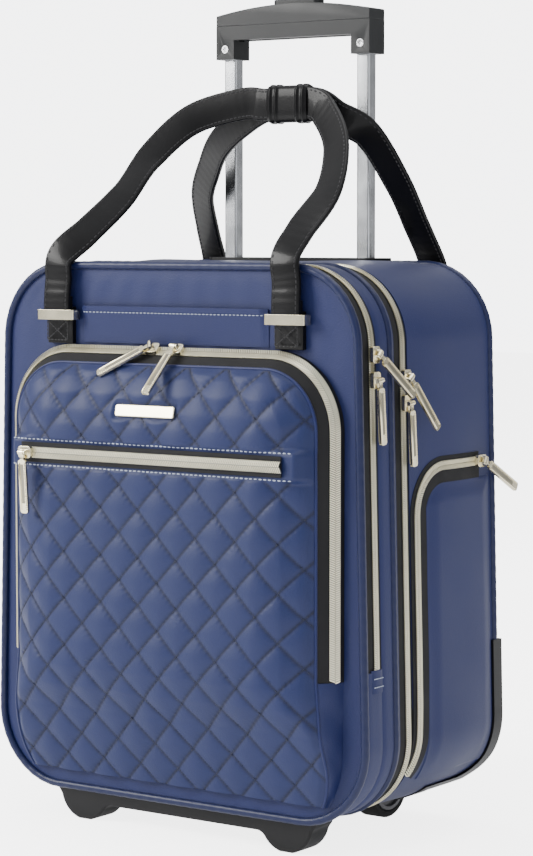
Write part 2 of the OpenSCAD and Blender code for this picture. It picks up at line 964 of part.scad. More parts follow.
module organiser_zip() {
    color("#26272b") {
        slab(-pocket_d - 1.2, -pocket_d - 0.1) translate([0, hz(organiser_h)])
            square([organiser_len, 15], center = true);
        slab(-pocket_d - 2.6, -pocket_d - 1.2 + eps) translate([0, hz(organiser_h)])
            square([organiser_len, 8.4], center = true);
    }
}

module badge() {
    fall = (badge_drop - dome_in) / dome_run;
    color("#e3dfcf") translate([-3, fy(dome_rise * (1 - fall) - pocket_d), hz(badge_h)])
        rotate([90 - atan(dome_rise / dome_run), 0, 0]) linear_extrude(2.4)
            rounded_rect(badge_w, 9, 2);
}

// ---------- carry straps ----------

wrap_x = 41;

// Middle line of each strap as offset from the middle, depth and rise above the fold.
front_path = [
    [-strap_x, -strap_d, 0], [-103, -strap_d, 24], [-88, 8, 43], [-74, 32, 69],
    [-66, 58, 100], [-42, 77, 127], [0, 85, strap_rise], [wrap_x - 20, 86.2, strap_rise - 1],
    [wrap_x + 20, 86.2, strap_rise - 1], [79, 80, 127], [100, 62, 104], [111, 36, 72],
    [106, 8, 43], [103, -strap_d, 24], [strap_x, -strap_d, 0]
];
rear_d = body_d + strap_d;
rear_path = [
    [-strap_x, rear_d, 0], [-104, rear_d, 20], [-98, rear_d - 17, 44], [-86, rear_d - 40, 71],
    [-66, 131, 92], [-44, 115, 110], [-12, 101, 126], [wrap_x - 20, 91.8, strap_rise - 1],
    [wrap_x + 20, 91.8, strap_rise - 1], [78, 97, 127], [95, 113, 113],
    [103, rear_d - 48, 78], [103, rear_d - 21, 46],
    [103, rear_d, 20], [strap_x, rear_d, 0]
];

// A short round bar across the strap's width; it stands upright at the top.
module strap_section(p, lean) {
    translate([p[0], fy(p[1]), hz(strap_fold + p[2])]) rotate([0, lean, 0])
        cylinder(d = strap_t, h = strap_w - strap_t, center = true, $fn = 12);
}

function lean_at(path, i) = let (
    a = path[max(i - 1, 0)],
    b = path[min(i + 1, len(path) - 1)]
) (i == 0 || i == len(path) - 1) ? 90 : atan2(-(b[2] - a[2]), b[0] - a[0]);

module strap(path) {
    for (i = [0:len(path) - 2]) hull() {
        strap_section(path[i], lean_at(path, i));
        strap_section(path[i + 1], lean_at(path, i + 1));
    }
}

wrap_len = 36;
wrap_h = strap_w + 6;
wrap_d = 2 * strap_t + 7.8;
wrap_mid = 89;

module front_strap() {
    color("#1f2022") strap(front_path);
}

module rear_strap() {
    color("#1f2022") strap(rear_path);
}

module wrap_half(out) {
    middle = hz(strap_fold + strap_rise - 1);
    translate([wrap_x, fy(wrap_mid), middle]) rotate([0, 90, 0]) intersection() {
        linear_extrude(wrap_len, center = true) difference() {
            rounded_rect(wrap_h, wrap_d, 6);
            rounded_rect(wrap_h - 5, wrap_d - 5, 4);
        }
        translate([-big, out * (big / 2 + clear / 2) - big / 2, -big]) cube([2 * big, big, 2 * big]);
    }
}

module front_wrap() {
    color("#242427") wrap_half(-1);
}

module rear_wrap() {
    color("#242427") wrap_half(1);
}

// ---------- moving sliders and pulls ----------

gold = "#d9d2b4";

module organiser_slider() {
    color(gold) organiser_frame() slider(organiser_turn[0]);
}

module pocket_slider_left() {
    color(gold) pocket_frame(pocket_left_at) slider(pocket_left_turn[0]);
}

module pocket_slider_right() {
    color(gold) pocket_frame(pocket_right_at) slider(pocket_right_turn[0]);
}

module laptop_slider_lower() {
    color(gold) side_frame(panel_d, laptop_lower_h) slider(laptop_lower_turn[0]);
}

module main_slider_lower() {
    color(gold) side_frame(main_zip, main_lower_h) slider(main_lower_turn[0]);
}

module organiser_pull() {
    color(gold) organiser_frame() pin_frame(organiser_turn[0], organiser_turn[1]) pull();
}

module pocket_pull_left() {
    color(gold) pocket_frame(pocket_left_at)
        pin_frame(pocket_left_turn[0], pocket_left_turn[1]) pull();
}

module pocket_pull_right() {
    color(gold) pocket_frame(pocket_right_at)
        pin_frame(pocket_right_turn[0], pocket_right_turn[1]) pull();
}

module laptop_pull_upper() {
    color(gold) side_frame(panel_d, laptop_upper_h)
        pin_frame(laptop_upper_turn[0], laptop_upper_turn[1]) pull();
}

module laptop_pull_lower() {
    color(gold) side_frame(panel_d, laptop_lower_h)
        pin_frame(laptop_lower_turn[0], laptop_lower_turn[1]) pull();
}

module main_pull_upper() {
    color(gold) side_frame(main_zip, main_upper_h)
        pin_frame(main_upper_turn[0], main_upper_turn[1]) pull();
}

module main_pull_lower() {
    color(gold) side_frame(main_zip, main_lower_h)
        pin_frame(main_lower_turn[0], main_lower_turn[1]) pull();
}

module side_pocket_pull() {
    color(gold) side_slider_frame() pin_frame(side_turn[0], side_turn[1]) pull();
}

module hub_left() {
    color("#7c7f84") hub(-1);
}

module tyre_left() {
    color("#1d1e20") tyre(-1);
}

module hub_right() {
    color("#7c7f84") hub(1);
}

module tyre_right() {
    color("#1d1e20") tyre(1);
}

// ---------- build ----------

rear_shell();
back_panel();
main_zip_rear();
side_pocket_panel();
side_pocket_zip();
rear_fixed_sliders();
trolley_bezel();
outer_tubes();
wheel_housings();
wheel_axles();
rear_anchor_tabs();
rear_loops();
lid_gusset();
lid_divider();
laptop_sleeve();
lid_piping();
main_zip_lid();
laptop_zip_lid();
laptop_slider_upper();
quilted_panel_lower();
foot_bar();
front_panel();
front_piping();
laptop_zip_panel();
pocket_zip_base();
slot_pocket();
front_anchor_tabs();
front_loops();
quilted_panel();
pocket_zip_flap();
organiser_zip();
badge();
front_strap();
front_wrap();
rear_strap();
rear_wrap();
middle_tubes();
inner_tubes();
grip_base();
grip_cap();
grip_screws();
release_button();
push_rods();
hub_left();
tyre_left();
hub_right();
tyre_right();
organiser_slider();
pocket_slider_left();
pocket_slider_right();
laptop_slider_lower();
main_slider_lower();
organiser_pull();
pocket_pull_left();
pocket_pull_right();
laptop_pull_upper();
laptop_pull_lower();
main_pull_upper();
main_pull_lower();
side_pocket_pull();
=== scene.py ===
"""Looks of a soft rolling laptop case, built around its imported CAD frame."""
import json
import math

import bmesh
import bpy
import numpy as np
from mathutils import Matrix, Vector


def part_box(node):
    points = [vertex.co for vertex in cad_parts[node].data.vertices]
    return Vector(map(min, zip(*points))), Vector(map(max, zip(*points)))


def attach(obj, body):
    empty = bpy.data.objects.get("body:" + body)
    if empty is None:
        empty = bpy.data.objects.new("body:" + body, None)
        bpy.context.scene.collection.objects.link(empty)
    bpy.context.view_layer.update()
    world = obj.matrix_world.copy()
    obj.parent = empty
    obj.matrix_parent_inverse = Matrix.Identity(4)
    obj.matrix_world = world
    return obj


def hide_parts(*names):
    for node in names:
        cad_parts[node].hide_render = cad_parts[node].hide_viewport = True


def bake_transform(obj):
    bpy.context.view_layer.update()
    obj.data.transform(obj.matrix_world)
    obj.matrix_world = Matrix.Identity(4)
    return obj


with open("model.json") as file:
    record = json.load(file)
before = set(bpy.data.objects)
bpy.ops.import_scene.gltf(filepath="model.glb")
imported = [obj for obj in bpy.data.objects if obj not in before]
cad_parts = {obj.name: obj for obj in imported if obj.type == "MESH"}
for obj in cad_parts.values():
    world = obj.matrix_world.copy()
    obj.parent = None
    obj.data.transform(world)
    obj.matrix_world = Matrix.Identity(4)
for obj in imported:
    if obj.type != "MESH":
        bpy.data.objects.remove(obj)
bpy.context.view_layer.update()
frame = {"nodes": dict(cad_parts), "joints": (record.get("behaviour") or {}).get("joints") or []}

MM = 0.001

# ---------- driving sizes, taken from the frame ----------

joints = {j["name"]: j for j in frame["joints"]}
shell_lo, shell_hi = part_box("rear_shell")
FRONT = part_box("front_panel")[0].y
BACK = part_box("back_panel")[1].y
BOTTOM, TOP = shell_lo.z, shell_hi.z
DEPTH = BACK - FRONT
CORNER = 57 * MM
LEAN = 10 * MM
HALF = shell_hi.x + LEAN * CORNER / (TOP - BOTTOM)
TILT = math.atan(LEAN / (TOP - BOTTOM))
WALL = 3 * MM
PANEL_ZIP = 15 * MM
LID_RIM = PANEL_ZIP + 7 * MM
PANEL_RIM = PANEL_ZIP - 7 * MM
SECOND_BEAD = 39 * MM
MAIN_ZIP = 55 * MM
REAR_RIM = MAIN_ZIP + 7 * MM
FOLD = joints["laptop_panel_fold"]["pos_m"][2]
ZIP_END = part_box("laptop_zip_lid")[0].z
HINGE_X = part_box("main_zip_lid")[0].x

_, pocket_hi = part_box("pocket_zip_base")
POCKET_HALF = pocket_hi.x
POCKET_TOP = pocket_hi.z
POCKET_R = 57 * MM
POCKET_FOOT = BOTTOM + 14 * MM
EDGE_IN = 13 * MM
COIL_IN = 3.2 * MM
COIL_PITCH = 1.6 * MM


def smooth(t):
    """Rises from 0 to 1 with flat ends."""
    t = np.clip(t, 0, 1)
    return t * t * (3 - 2 * t)


# ---------- materials ----------

class Finish:
    """One procedural material and the nodes it is made of."""

    def __init__(self, name, **shader):
        self.material = bpy.data.materials.new(name)
        self.material.use_nodes = True
        self.tree = self.material.node_tree
        self.shader = self.tree.nodes["Principled BSDF"]
        for socket, value in shader.items():
            self.shader.inputs[socket.replace("_", " ")].default_value = value
        coordinates = self.tree.nodes.new("ShaderNodeTexCoord")
        self.place = coordinates.outputs["Object"]

    def node(self, kind, settings=None, **links):
        made = self.tree.nodes.new("ShaderNode" + kind)
        for key, value in (settings or {}).items():
            setattr(made, key, value)
        for key, value in links.items():
            socket = made.inputs[int(key[1:])] if key[1:].isdigit() else made.inputs[key.replace("_", " ")]
            if hasattr(value, "is_output"):
                self.tree.links.new(value, socket)
            else:
                socket.default_value = value
        return made

    def noise(self, scale, detail=3, place=None):
        return self.node("TexNoise", Vector=place or self.place, Scale=scale, Detail=detail).outputs["Fac"]

    def math(self, operation, a, b=0.0):
        return self.node("Math", {"operation": operation}, _0=a, _1=b).outputs[0]

    def ramp(self, value, low, high):
        """A number between 0 and 1 spread over low to high."""
        made = self.node("MapRange", _0=value)
        made.inputs[3].default_value = low
        made.inputs[4].default_value = high
        return made.outputs[0]

    def mix(self, factor, a, b):
        made = self.node("Mix", {"data_type": "RGBA"}, _0=factor)
        for value, socket in ((a, made.inputs[6]), (b, made.inputs[7])):
            if hasattr(value, "is_output"):
                self.tree.links.new(value, socket)
            else:
                socket.default_value = (*value, 1)
        return made.outputs[2]

    def colour(self, value):
        self.tree.links.new(value, self.shader.inputs["Base Color"])

    def rough(self, value):
        self.tree.links.new(value, self.shader.inputs["Roughness"])

    def bump(self, height, distance, strength=1.0):
        made = self.node("Bump", Height=height, Strength=strength, Distance=distance)
        self.tree.links.new(made.outputs[0], self.shader.inputs["Normal"])

    def attribute(self, name):
        return self.node("Attribute", {"attribute_name": name}).outputs["Fac"]


def shade(colour, factor):
    return tuple(c * factor for c in colour)


def woven(name, colour, thread=0.7 * MM, rough=0.5, sheen=0.08, seam=False):
    """Nylon cloth: a fine grain, coarser slubs, soft clouding where it is handled, and, with seam set, a
    painted shade in the quilt's seam creases.
    """
    f = Finish(name, Sheen_Weight=sheen, Sheen_Roughness=0.35, Specular_IOR_Level=0.32)
    clouds = f.noise(16, 4)
    slubs = f.noise(900, 2)
    weave = f.noise(1 / thread, 1)
    base = f.mix(f.ramp(clouds, 0.0, 1.0), shade(colour, 0.88), shade(colour, 1.1))
    tone = f.mix(f.ramp(slubs, 0.0, 0.5), base, shade(colour, 0.72))
    # painted shade: with seam set, the cloth darkens towards 0.35 of its colour where the "seam" attribute
    # marks a quilting crease
    if seam:
        tone = f.mix(f.attribute("seam"), tone, shade(colour, 0.35))
    f.colour(tone)
    f.rough(f.ramp(clouds, rough - 0.08, rough + 0.1))
    f.bump(f.math("ADD", weave, f.math("MULTIPLY", slubs, 2.0)), 0.12 * MM, 0.6)
    return f.material


def tape_cloth(name, colour):
    """Zip tape: a fine even grain with paler high points."""
    f = Finish(name, Specular_IOR_Level=0.25)
    ribs = f.noise(1300, 1)
    f.colour(f.mix(f.ramp(ribs, 0.0, 0.4), colour, shade(colour, 2.2)))
    f.rough(f.ramp(f.noise(60), 0.55, 0.8))
    f.bump(ribs, 0.15 * MM, 0.8)
    return f.material


def leather(name, colour):
    """Smooth dyed leather: fine pores, soft creases, rubbed patches."""
    f = Finish(name, Coat_Weight=0.1, Coat_Roughness=0.1, Specular_IOR_Level=0.14)
    pores = f.node("TexVoronoi", Vector=f.place, Scale=900.0).outputs["Distance"]
    creases = f.noise(160, 6)
    patches = f.noise(22, 3)
    f.colour(f.mix(patches, shade(colour, 0.75), shade(colour, 1.35)))
    f.rough(f.ramp(patches, 0.28, 0.46))
    f.bump(f.math("ADD", pores, f.math("MULTIPLY", creases, 1.6)), 0.1 * MM, 0.5)
    return f.material


def metal(name, colour, rough, brushed=0.0):
    """Plated metal with faint handling marks and a brushed or cast surface."""
    f = Finish(name, Metallic=1.0)
    marks = f.noise(70, 5)
    grain = f.noise(1400, 2)
    f.colour(f.mix(marks, shade(colour, 0.82), shade(colour, 1.08)))
    f.rough(f.ramp(marks, rough - 0.06, rough + 0.1))
    f.bump(grain, 0.03 * MM, 0.3 + brushed)
    return f.material


def plastic(name, colour, rough, grain=0.08 * MM):
    """Moulded plastic with a spark-eroded skin and paler rubbed spots."""
    f = Finish(name, Specular_IOR_Level=0.3)
    rub = f.noise(30, 4)
    pits = f.noise(1100, 2)
    f.colour(f.mix(f.ramp(rub, 0.0, 0.8), shade(colour, 0.85), shade(colour, 1.25)))
    f.rough(f.ramp(rub, rough - 0.08, rough + 0.12))
    f.bump(pits, grain, 0.5)
    return f.material


def plain(name, colour, rough):
    f = Finish(name, Roughness=rough)
    f.colour(f.mix(f.noise(3, 2), shade(colour, 0.985), colour))
    return f.material


BLUE = (0.0082, 0.0150, 0.078)
NYLON = woven("nylon_blue", BLUE)
# the quilt cloth carries painted shade along its seam creases
QUILT = woven("nylon_quilt", (0.0088, 0.0170, 0.078), seam=True)
LINING = woven("lining_grey", (0.035, 0.037, 0.045), thread=1.0 * MM, sheen=0.05)
CORD = woven("piping_blue", (0.005, 0.010, 0.052), thread=0.5 * MM, rough=0.36, sheen=0.1)
TAPE = tape_cloth("zip_tape_black", (0.006, 0.006, 0.007))
COIL = metal("zip_coil_gold", (0.98, 0.93, 0.72), 0.3)
GOLD = metal("pale_gold", (0.88, 0.81, 0.60), 0.2)
GOLD_DARK = metal("pale_gold_recess", (0.30, 0.28, 0.22), 0.4)
LEATHER = leather("leather_black", (0.0035, 0.0035, 0.004))
STEEL = metal("tube_steel", (0.72, 0.74, 0.77), 0.22)
STEEL_DARK = metal("steel_dark", (0.10, 0.10, 0.11), 0.4)
SCREW = metal("screw_steel", (0.66, 0.66, 0.68), 0.25)
GREY_PLASTIC = plastic("plastic_grey", (0.014, 0.015, 0.016), 0.36)
BLACK_PLASTIC = plastic("plastic_black", (0.005, 0.005, 0.0055), 0.42)
HUB_PLASTIC = plastic("hub_grey", (0.12, 0.12, 0.13), 0.45)
TREAD = plastic("tread_rubber", (0.014, 0.014, 0.014), 0.75, 0.2 * MM)
THREAD_DARK = woven("thread_navy", (0.006, 0.009, 0.03), thread=0.4 * MM, sheen=0.1)
THREAD_PALE = woven("thread_pale", (0.45, 0.50, 0.62), thread=0.4 * MM, sheen=0.1)
THREAD_BLACK = woven("thread_black", (0.02, 0.02, 0.022), thread=0.4 * MM, sheen=0.1)

# ---------- mesh helpers ----------

def made(name, points, faces, materials, which=None, uv=None, closed=True, level=True):
    """A mesh from arrays: faces is a list of index arrays, one array for each corner count."""
    mesh = bpy.data.meshes.new(name)
    corners = np.concatenate([f.ravel() for f in faces]).astype(np.int32)
    sizes = np.concatenate([np.full(len(f), f.shape[1]) for f in faces])
    starts = np.concatenate([[0], np.cumsum(sizes)[:-1]]).astype(np.int32)
    mesh.vertices.add(len(points))
    mesh.vertices.foreach_set("co", np.asarray(points, np.float32).ravel())
    mesh.loops.add(len(corners))
    mesh.loops.foreach_set("vertex_index", corners)
    mesh.polygons.add(len(sizes))
    mesh.polygons.foreach_set("loop_start", starts)
    for material in materials:
        mesh.materials.append(material)
    if which is not None:
        mesh.polygons.foreach_set("material_index", np.asarray(which, np.int32))
    if uv is not None:
        mesh.uv_layers.new(name="UVMap").data.foreach_set("uv", np.asarray(uv, np.float32).ravel())
    mesh.update(calc_edges=True)
    mesh.validate()
    if closed:
        outward(mesh)
    mesh.polygons.foreach_set("use_smooth", np.ones(len(mesh.polygons), bool))
    if level:
        mesh.set_sharp_from_angle(angle=math.radians(38))
    piece = bpy.data.objects.new(name, mesh)
    bpy.context.scene.collection.objects.link(piece)
    return piece


def outward(mesh):
    """Turns every face of a closed mesh outward."""
    work = bmesh.new()
    work.from_mesh(mesh)
    bmesh.ops.recalc_face_normals(work, faces=work.faces)
    work.to_mesh(mesh)
    work.free()


def lattice(rows, columns, ring_rows=False, ring_columns=False):
    """Quads of a grid with the given number of points each way, joined round where it is a ring."""
    i = np.arange(rows if ring_rows else rows - 1)
    j = np.arange(columns if ring_columns else columns - 1)
    i, j = np.meshgrid(i, j, indexing="ij")
    i2, j2 = (i + 1) % rows, (j + 1) % columns
    corners = [i * columns + j, i2 * columns + j, i2 * columns + j2, i * columns + j2]
    return np.stack(corners, -1).reshape(-1, 4)


def tube(grid, ring_rows=False):
    """Faces of a closed profile carried along a line: grid is (stations, profile points, 3)."""
    rows, columns = grid.shape[:2]
    faces = [lattice(rows, columns, ring_rows, True)]
    if not ring_rows:
        last = (rows - 1) * columns
        faces.append(np.array([np.arange(columns)]))
        faces.append(np.array([last + np.arange(columns)[::-1]]))
    return faces


def gather(parts):
    """Joins (points, faces) pairs into one pair of arrays."""
    points, faces, start = [], [], 0
    for p, fs in parts:
        points.append(p.reshape(-1, 3))
        faces += [f + start for f in fs]
        start += len(points[-1])
    return np.concatenate(points), faces


def copies(template, faces, origin, along, across, up):
    """One template at every station: its x runs along, its y across, its z up."""
    p = (origin[:, None] + template[None, :, 0:1] * along[:, None]
         + template[None, :, 1:2] * across[:, None] + template[None, :, 2:3] * up[:, None])
    steps = (np.arange(len(origin)) * len(template))[:, None, None]
    return p.reshape(-1, 3), [(f[None] + steps).reshape(-1, f.shape[1]) for f in faces]


def unit(v):
    return v / np.maximum(np.linalg.norm(v, axis=-1, keepdims=True), 1e-12)


def place(piece, body, *nodes, slot=None):
    """Rides a body and stands for its CAD nodes; slot is not used."""
    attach(piece, body)
    finishes(nodes)
    return piece


def finishes(nodes):
    if nodes:
        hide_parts(*nodes)


def ring_profile(half_w, half_h, radius, steps=4):
    """A rounded rectangle as closed points (across, up)."""
    corners = [(1, -1, -90), (1, 1, 0), (-1, 1, 90), (-1, -1, 180)]
    angles = np.radians(np.linspace(0, 90, steps + 1))
    out = []
    for sx, sy, turn in corners:
        a = angles + math.radians(turn)
        out.append(np.stack([sx * (half_w - radius) + radius * np.cos(a),
                             sy * (half_h - radius) + radius * np.sin(a)], -1))
    return np.concatenate(out)


def softened(node, body, width, material, name=None, slot=None, segments=3, angle=30):
    """A moulded copy of a CAD piece: its flat facets are joined and its edges rounded."""
    mesh = frame["nodes"][node].data.copy()
    work = bmesh.new()
    work.from_mesh(mesh)
    bmesh.ops.remove_doubles(work, verts=work.verts, dist=0.005 * MM)
    bmesh.ops.dissolve_limit(work, angle_limit=math.radians(1.0), verts=work.verts, edges=work.edges)
    bmesh.ops.recalc_face_normals(work, faces=work.faces)
    work.to_mesh(mesh)
    work.free()
    mesh.materials.clear()
    mesh.materials.append(material)
    mesh.polygons.foreach_set("use_smooth", np.ones(len(mesh.polygons), bool))
    mesh.set_sharp_from_angle(angle=math.radians(45))
    piece = bpy.data.objects.new(name or node + "_moulded", mesh)
    bpy.context.scene.collection.objects.link(piece)
    rounding = piece.modifiers.new("rounding", "BEVEL")
    rounding.width = width
    rounding.segments = segments
    rounding.limit_method = "ANGLE"
    rounding.angle_limit = math.radians(angle)
    rounding.harden_normals = False
    rounding.use_clamp_overlap = True
    return place(piece, body, node, slot=slot)


# ---------- lines that run round the case ----------

class Rim:
    """A line in the front view with rounded corners.

    Each station holds a centre and a direction; a point stands a radius away from the centre
    along the direction. On straight runs the centre moves and the direction stays."""

    def __init__(self, stations, radius, ring=False):
        self.ring = ring
        x, z, turn = np.array(stations, float).T
        turn = np.radians(turn)
        step = np.hypot(np.diff(x), np.diff(z)) + radius * np.abs(np.diff(turn))
        self.s = np.concatenate([[0], np.cumsum(step)])
        self.x, self.z, self.turn, self.radius = x, z, turn, radius
        self.length = self.s[-1]

    def frame(self, s):
        s = np.mod(s, self.length) if self.ring else s
        a = np.interp(s, self.s, self.turn)
        centre = np.stack([np.interp(s, self.s, self.x), np.interp(s, self.s, self.z)], -1)
        return centre, np.stack([np.cos(a), np.sin(a)], -1)

    def points(self, s, depth, out):
        """Points at distances s, behind the front seam by depth and outside the line by out."""
        centre, way = self.frame(s)
        out, depth = np.broadcast_arrays(out, depth)
        if out.ndim == 1:
            out = np.broadcast_to(out, (len(s), len(out)))
            depth = np.broadcast_to(depth, (len(s), len(depth)))
        flat = centre[:, None] + (self.radius + out)[..., None] * way[:, None]
        return np.stack([flat[..., 0], FRONT + depth, flat[..., 1]], -1)

    def at_height(self, z, side=1):
        """The distance along the line where it passes a height, on the right or the left."""
        s = np.linspace(0, self.length / 2, 4000)
        height = self.points(s, np.zeros(1), np.zeros(1))[:, 0, 2]
        keep = np.concatenate([[True], np.diff(height) > 0])
        found = float(np.interp(z, height[keep], s[keep]))
        return found if side > 0 else self.length - found


def stretch(start, end, step):
    return np.linspace(start, end, max(2, int(math.ceil((end - start) / step)) + 1))


def side_x(z):
    return HALF - LEAN * (z - BOTTOM) / (TOP - BOTTOM)


low_z, high_z = BOTTOM + CORNER, TOP - CORNER
low_x = side_x(low_z) - CORNER / math.cos(TILT)
high_x = side_x(high_z) - CORNER / math.cos(TILT)
tilt = math.degrees(TILT)
case = Rim([(0, low_z, -90), (low_x, low_z, -90), (low_x, low_z, tilt), (high_x, high_z, tilt),
            (high_x, high_z, 90), (-high_x, high_z, 90), (-high_x, high_z, 180 - tilt),
            (-low_x, low_z, 180 - tilt), (-low_x, low_z, 270), (0, low_z, 270)], CORNER, ring=True)
pocket_c = POCKET_HALF - POCKET_R
pocket = Rim([(pocket_c, FOLD, 0), (pocket_c, POCKET_TOP - POCKET_R, 0),
              (pocket_c, POCKET_TOP - POCKET_R, 90), (-pocket_c, POCKET_TOP - POCKET_R, 90),
              (-pocket_c, POCKET_TOP - POCKET_R, 180), (-pocket_c, FOLD, 180)], POCKET_R)
fold_right, fold_left = case.at_height(FOLD), case.at_height(FOLD, -1)
zip_right, zip_left = case.at_height(ZIP_END), case.at_height(ZIP_END, -1)
hinge_top = case.length / 2 - HINGE_X
hinge_foot = case.length + HINGE_X


def around(line, s, depth, out, ring=False):
    """A closed profile (depth, out) carried along a line."""
    grid = line.points(s[:-1] if ring else s, np.asarray(depth), np.asarray(out))
    return grid.reshape(-1, 3), tube(grid, ring)


def swelling(s, depth, way):
    """How far the soft sides stand out: a low swell behind the main zip, sin(pi t) of 2.2 mm on
    flat runs and nothing in the corners, with slow creases. way is the rim's outward direction."""
    flat = np.maximum(np.abs(way[..., 0]), np.abs(way[..., 1])) ** 8
    swell = np.sin(math.pi * np.clip((depth - REAR_RIM) / (DEPTH - REAR_RIM - 12 * MM), 0, 1))
    wave = np.sin(31 * s + 9 * depth + 1.3) * np.sin(57 * depth + 0.4) + 0.6 * np.sin(67 * s + 41 * depth)
    return (2.2 * MM * flat + 0.4 * MM * wave) * swell


def bulge(s, depth):
    """The swelling at each (s, depth) pair."""
    return swelling(s[:, None], np.asarray(depth, float), case.frame(s)[1][:, None])


# ---------- rear body ----------

REAR_R = 6 * MM
WELL_X, WELL_Y = 84 * MM, 72 * MM
WELL_SIZE = (32 * MM, 62.4 * MM, 64 * MM)


def shell_piece():
    """The soft rear body: straight depth, then a small rounded edge, then its own lining."""
    s = np.linspace(0, case.length, 420)[:-1]
    turn = np.radians(np.linspace(0, 68, 7))
    straight = np.linspace(REAR_RIM, DEPTH - REAR_R, 26)
    depth = np.concatenate([straight, DEPTH - REAR_R + REAR_R * np.sin(turn[1:])])
    out = np.concatenate([np.zeros(26), REAR_R * (np.cos(turn[1:]) - 1)])
    swell = bulge(s, depth)
    grid = case.points(s, depth, out[None] + swell)
    inner = case.points(s, depth[::-1], out[::-1][None] + swell[:, ::-1] - WALL)
    grid = np.concatenate([grid, inner], 1)
    piece = made("rear_shell_cloth", grid.reshape(-1, 3),
                 [lattice(len(s), grid.shape[1], True, True)], [NYLON])
    for side in (-1, 1):
        cut_box(piece, (side * WELL_X, WELL_Y, BOTTOM), WELL_SIZE)
    return place(piece, "carcass", "rear_shell", slot="nylon_blue")


def cut_box(piece, centre, size):
    """Cuts a plain box out of a piece."""
    bpy.ops.mesh.primitive_cube_add(size=1, location=centre)
    cutter = bpy.context.object
    cutter.scale = size
    cut = piece.modifiers.new("cut", "BOOLEAN")
    cut.object = cutter
    cut.solver = "EXACT"
    bpy.context.view_layer.update()
    solid = bpy.data.meshes.new_from_object(piece.evaluated_get(bpy.context.evaluated_depsgraph_get()))
    piece.modifiers.clear()
    piece.data = solid
    solid.polygons.foreach_set("use_smooth", np.ones(len(solid.polygons), bool))
    solid.set_sharp_from_angle(angle=math.radians(38))
    bpy.data.objects.remove(cutter)


def plate(name, line, s, columns, materials):
    """A closed plate inside a ring line. Columns are (scale towards the middle, out, depth)."""
    scale, out, depth = (np.array(c) for c in zip(*columns))
    rim = line.points(s, depth, out)
    middle = np.array([0, 0, (BOTTOM + TOP) / 2])
    flat = middle + (rim - middle) * scale[None, :, None]
    flat[..., 1] = rim[..., 1]
    faces = [lattice(len(s), len(columns), True, False),
             np.array([np.arange(len(s)) * len(columns)]),
             np.array([(np.arange(len(s)) * len(columns) + len(columns) - 1)[::-1]])]
    return made(name, flat.reshape(-1, 3), faces, materials)


def back_pad():
    """The padded back: a low dome inside a rolled seam."""
    s = np.linspace(0, case.length, 300)[:-1]
    scales = np.concatenate([np.linspace(0.02, 0.9, 12), [0.93, 0.955, 0.975, 0.985]])
    edge = DEPTH - 7 * MM
    dome = edge + 7.5 * MM * (1 - scales ** 10) ** 0.6 * (1 + 0.12 * np.cos(scales * 9))
    columns = [(k, -3 * MM, d) for k, d in zip(scales, dome)]
    columns += [(0.992, -3 * MM, edge + 0.5 * MM), (0.992, -3 * MM, edge - 1 * MM),
                (0.9, -3 * MM, edge - 1 * MM), (0.02, -3 * MM, edge - 1 * MM)]
    piece = plate("back_pad", case, s, columns, [NYLON])
    return place(piece, "carcass", "back_panel", slot="nylon_blue")


shell_piece()
back_pad()


def strip(name, line, start, end, depths, outs, material, body, nodes=(), slot=None, thick=WALL, ring=False,
          step=4 * MM, carry=None):
    """A closed strip of cloth along a line: depths and outs give its outer face."""
    s = stretch(start, end, step)
    depths, outs = np.asarray(depths, float), np.asarray(outs, float)
    run = np.concatenate([depths, depths[::-1]])
    rise = np.concatenate([outs, outs[::-1] - thick])
    points, faces = around(line, s, run, rise, ring)
    piece = made(name, points, faces, [material])
    if carry:
        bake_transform(piece)
        finishes(nodes)
        return piece
    return place(piece, body, *nodes, slot=slot)


def bow(start, end, rise, count=9):
    """Depths from start to end and a low bow between them, rise at the middle."""
    t = np.linspace(0, 1, count)
    return start + (end - start) * t, rise * (1 - (2 * t - 1) ** 4) - 0.4 * MM


# ---------- lid gusset, folds and beads ----------

def cloth_strips():
    d, o = bow(LID_RIM, SECOND_BEAD - 2 * MM, 1.1 * MM)
    strip("lid_gusset_front", case, 0, case.length, d, o, NYLON, "main_lid", ("lid_gusset",), "nylon_blue",
          ring=True)
    d, o = bow(SECOND_BEAD + 2 * MM, MAIN_ZIP - 10 * MM, 0.2 * MM)
    strip("lid_gusset_rear", case, 0, case.length, d, o, NYLON, "main_lid", slot="nylon_blue", ring=True)
    d, o = bow(MAIN_ZIP - 8 * MM, REAR_RIM + 1 * MM, 0.6 * MM)
    strip("hinge_fold", case, hinge_top, hinge_foot, d, o, NYLON, "", slot="nylon_blue",
          carry=("main_lid", "carcass", (0, FRONT + 46 * MM, 0), (0, FRONT + 61 * MM, 0)))
    d, o = bow(2 * MM, LID_RIM, 0.8 * MM)
    for name, start, end in (("lower_front_gusset", zip_left - case.length, zip_right),):
        strip(name, case, start, end, d, o, NYLON, "main_lid", slot="nylon_blue")
    d, o = bow(1.5 * MM, PANEL_RIM - 3 * MM, 0.3 * MM, 5)
    strip("front_panel_gusset", case, zip_right, zip_left, d, o, NYLON, "front_panel", slot="nylon_blue")


def bead(name, depth, start, end, body, nodes=(), ring=False, carry=None):
    """A corded edge: round, with the flange's stitching pressing small dents into it."""
    s = np.linspace(start, end, int((end - start) / (1.6 * MM)))
    a = np.radians(np.linspace(0, 360, 15)[:-1])
    dent = 1 - 0.05 * (0.5 + 0.5 * np.cos(2 * math.pi * s / (9.6 * MM)))[:, None]
    radius = 3.15 * MM * dent
    grid = case.points(s, depth + radius * np.sin(a)[None], -0.9 * MM + radius * np.cos(a)[None])
    if ring:
        grid = grid[:-1]
    piece = made(name, grid.reshape(-1, 3), tube(grid, ring), [CORD])
    if carry:
        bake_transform(piece)
        finishes(nodes)
        return
    place(piece, body, *nodes, slot="piping_blue")


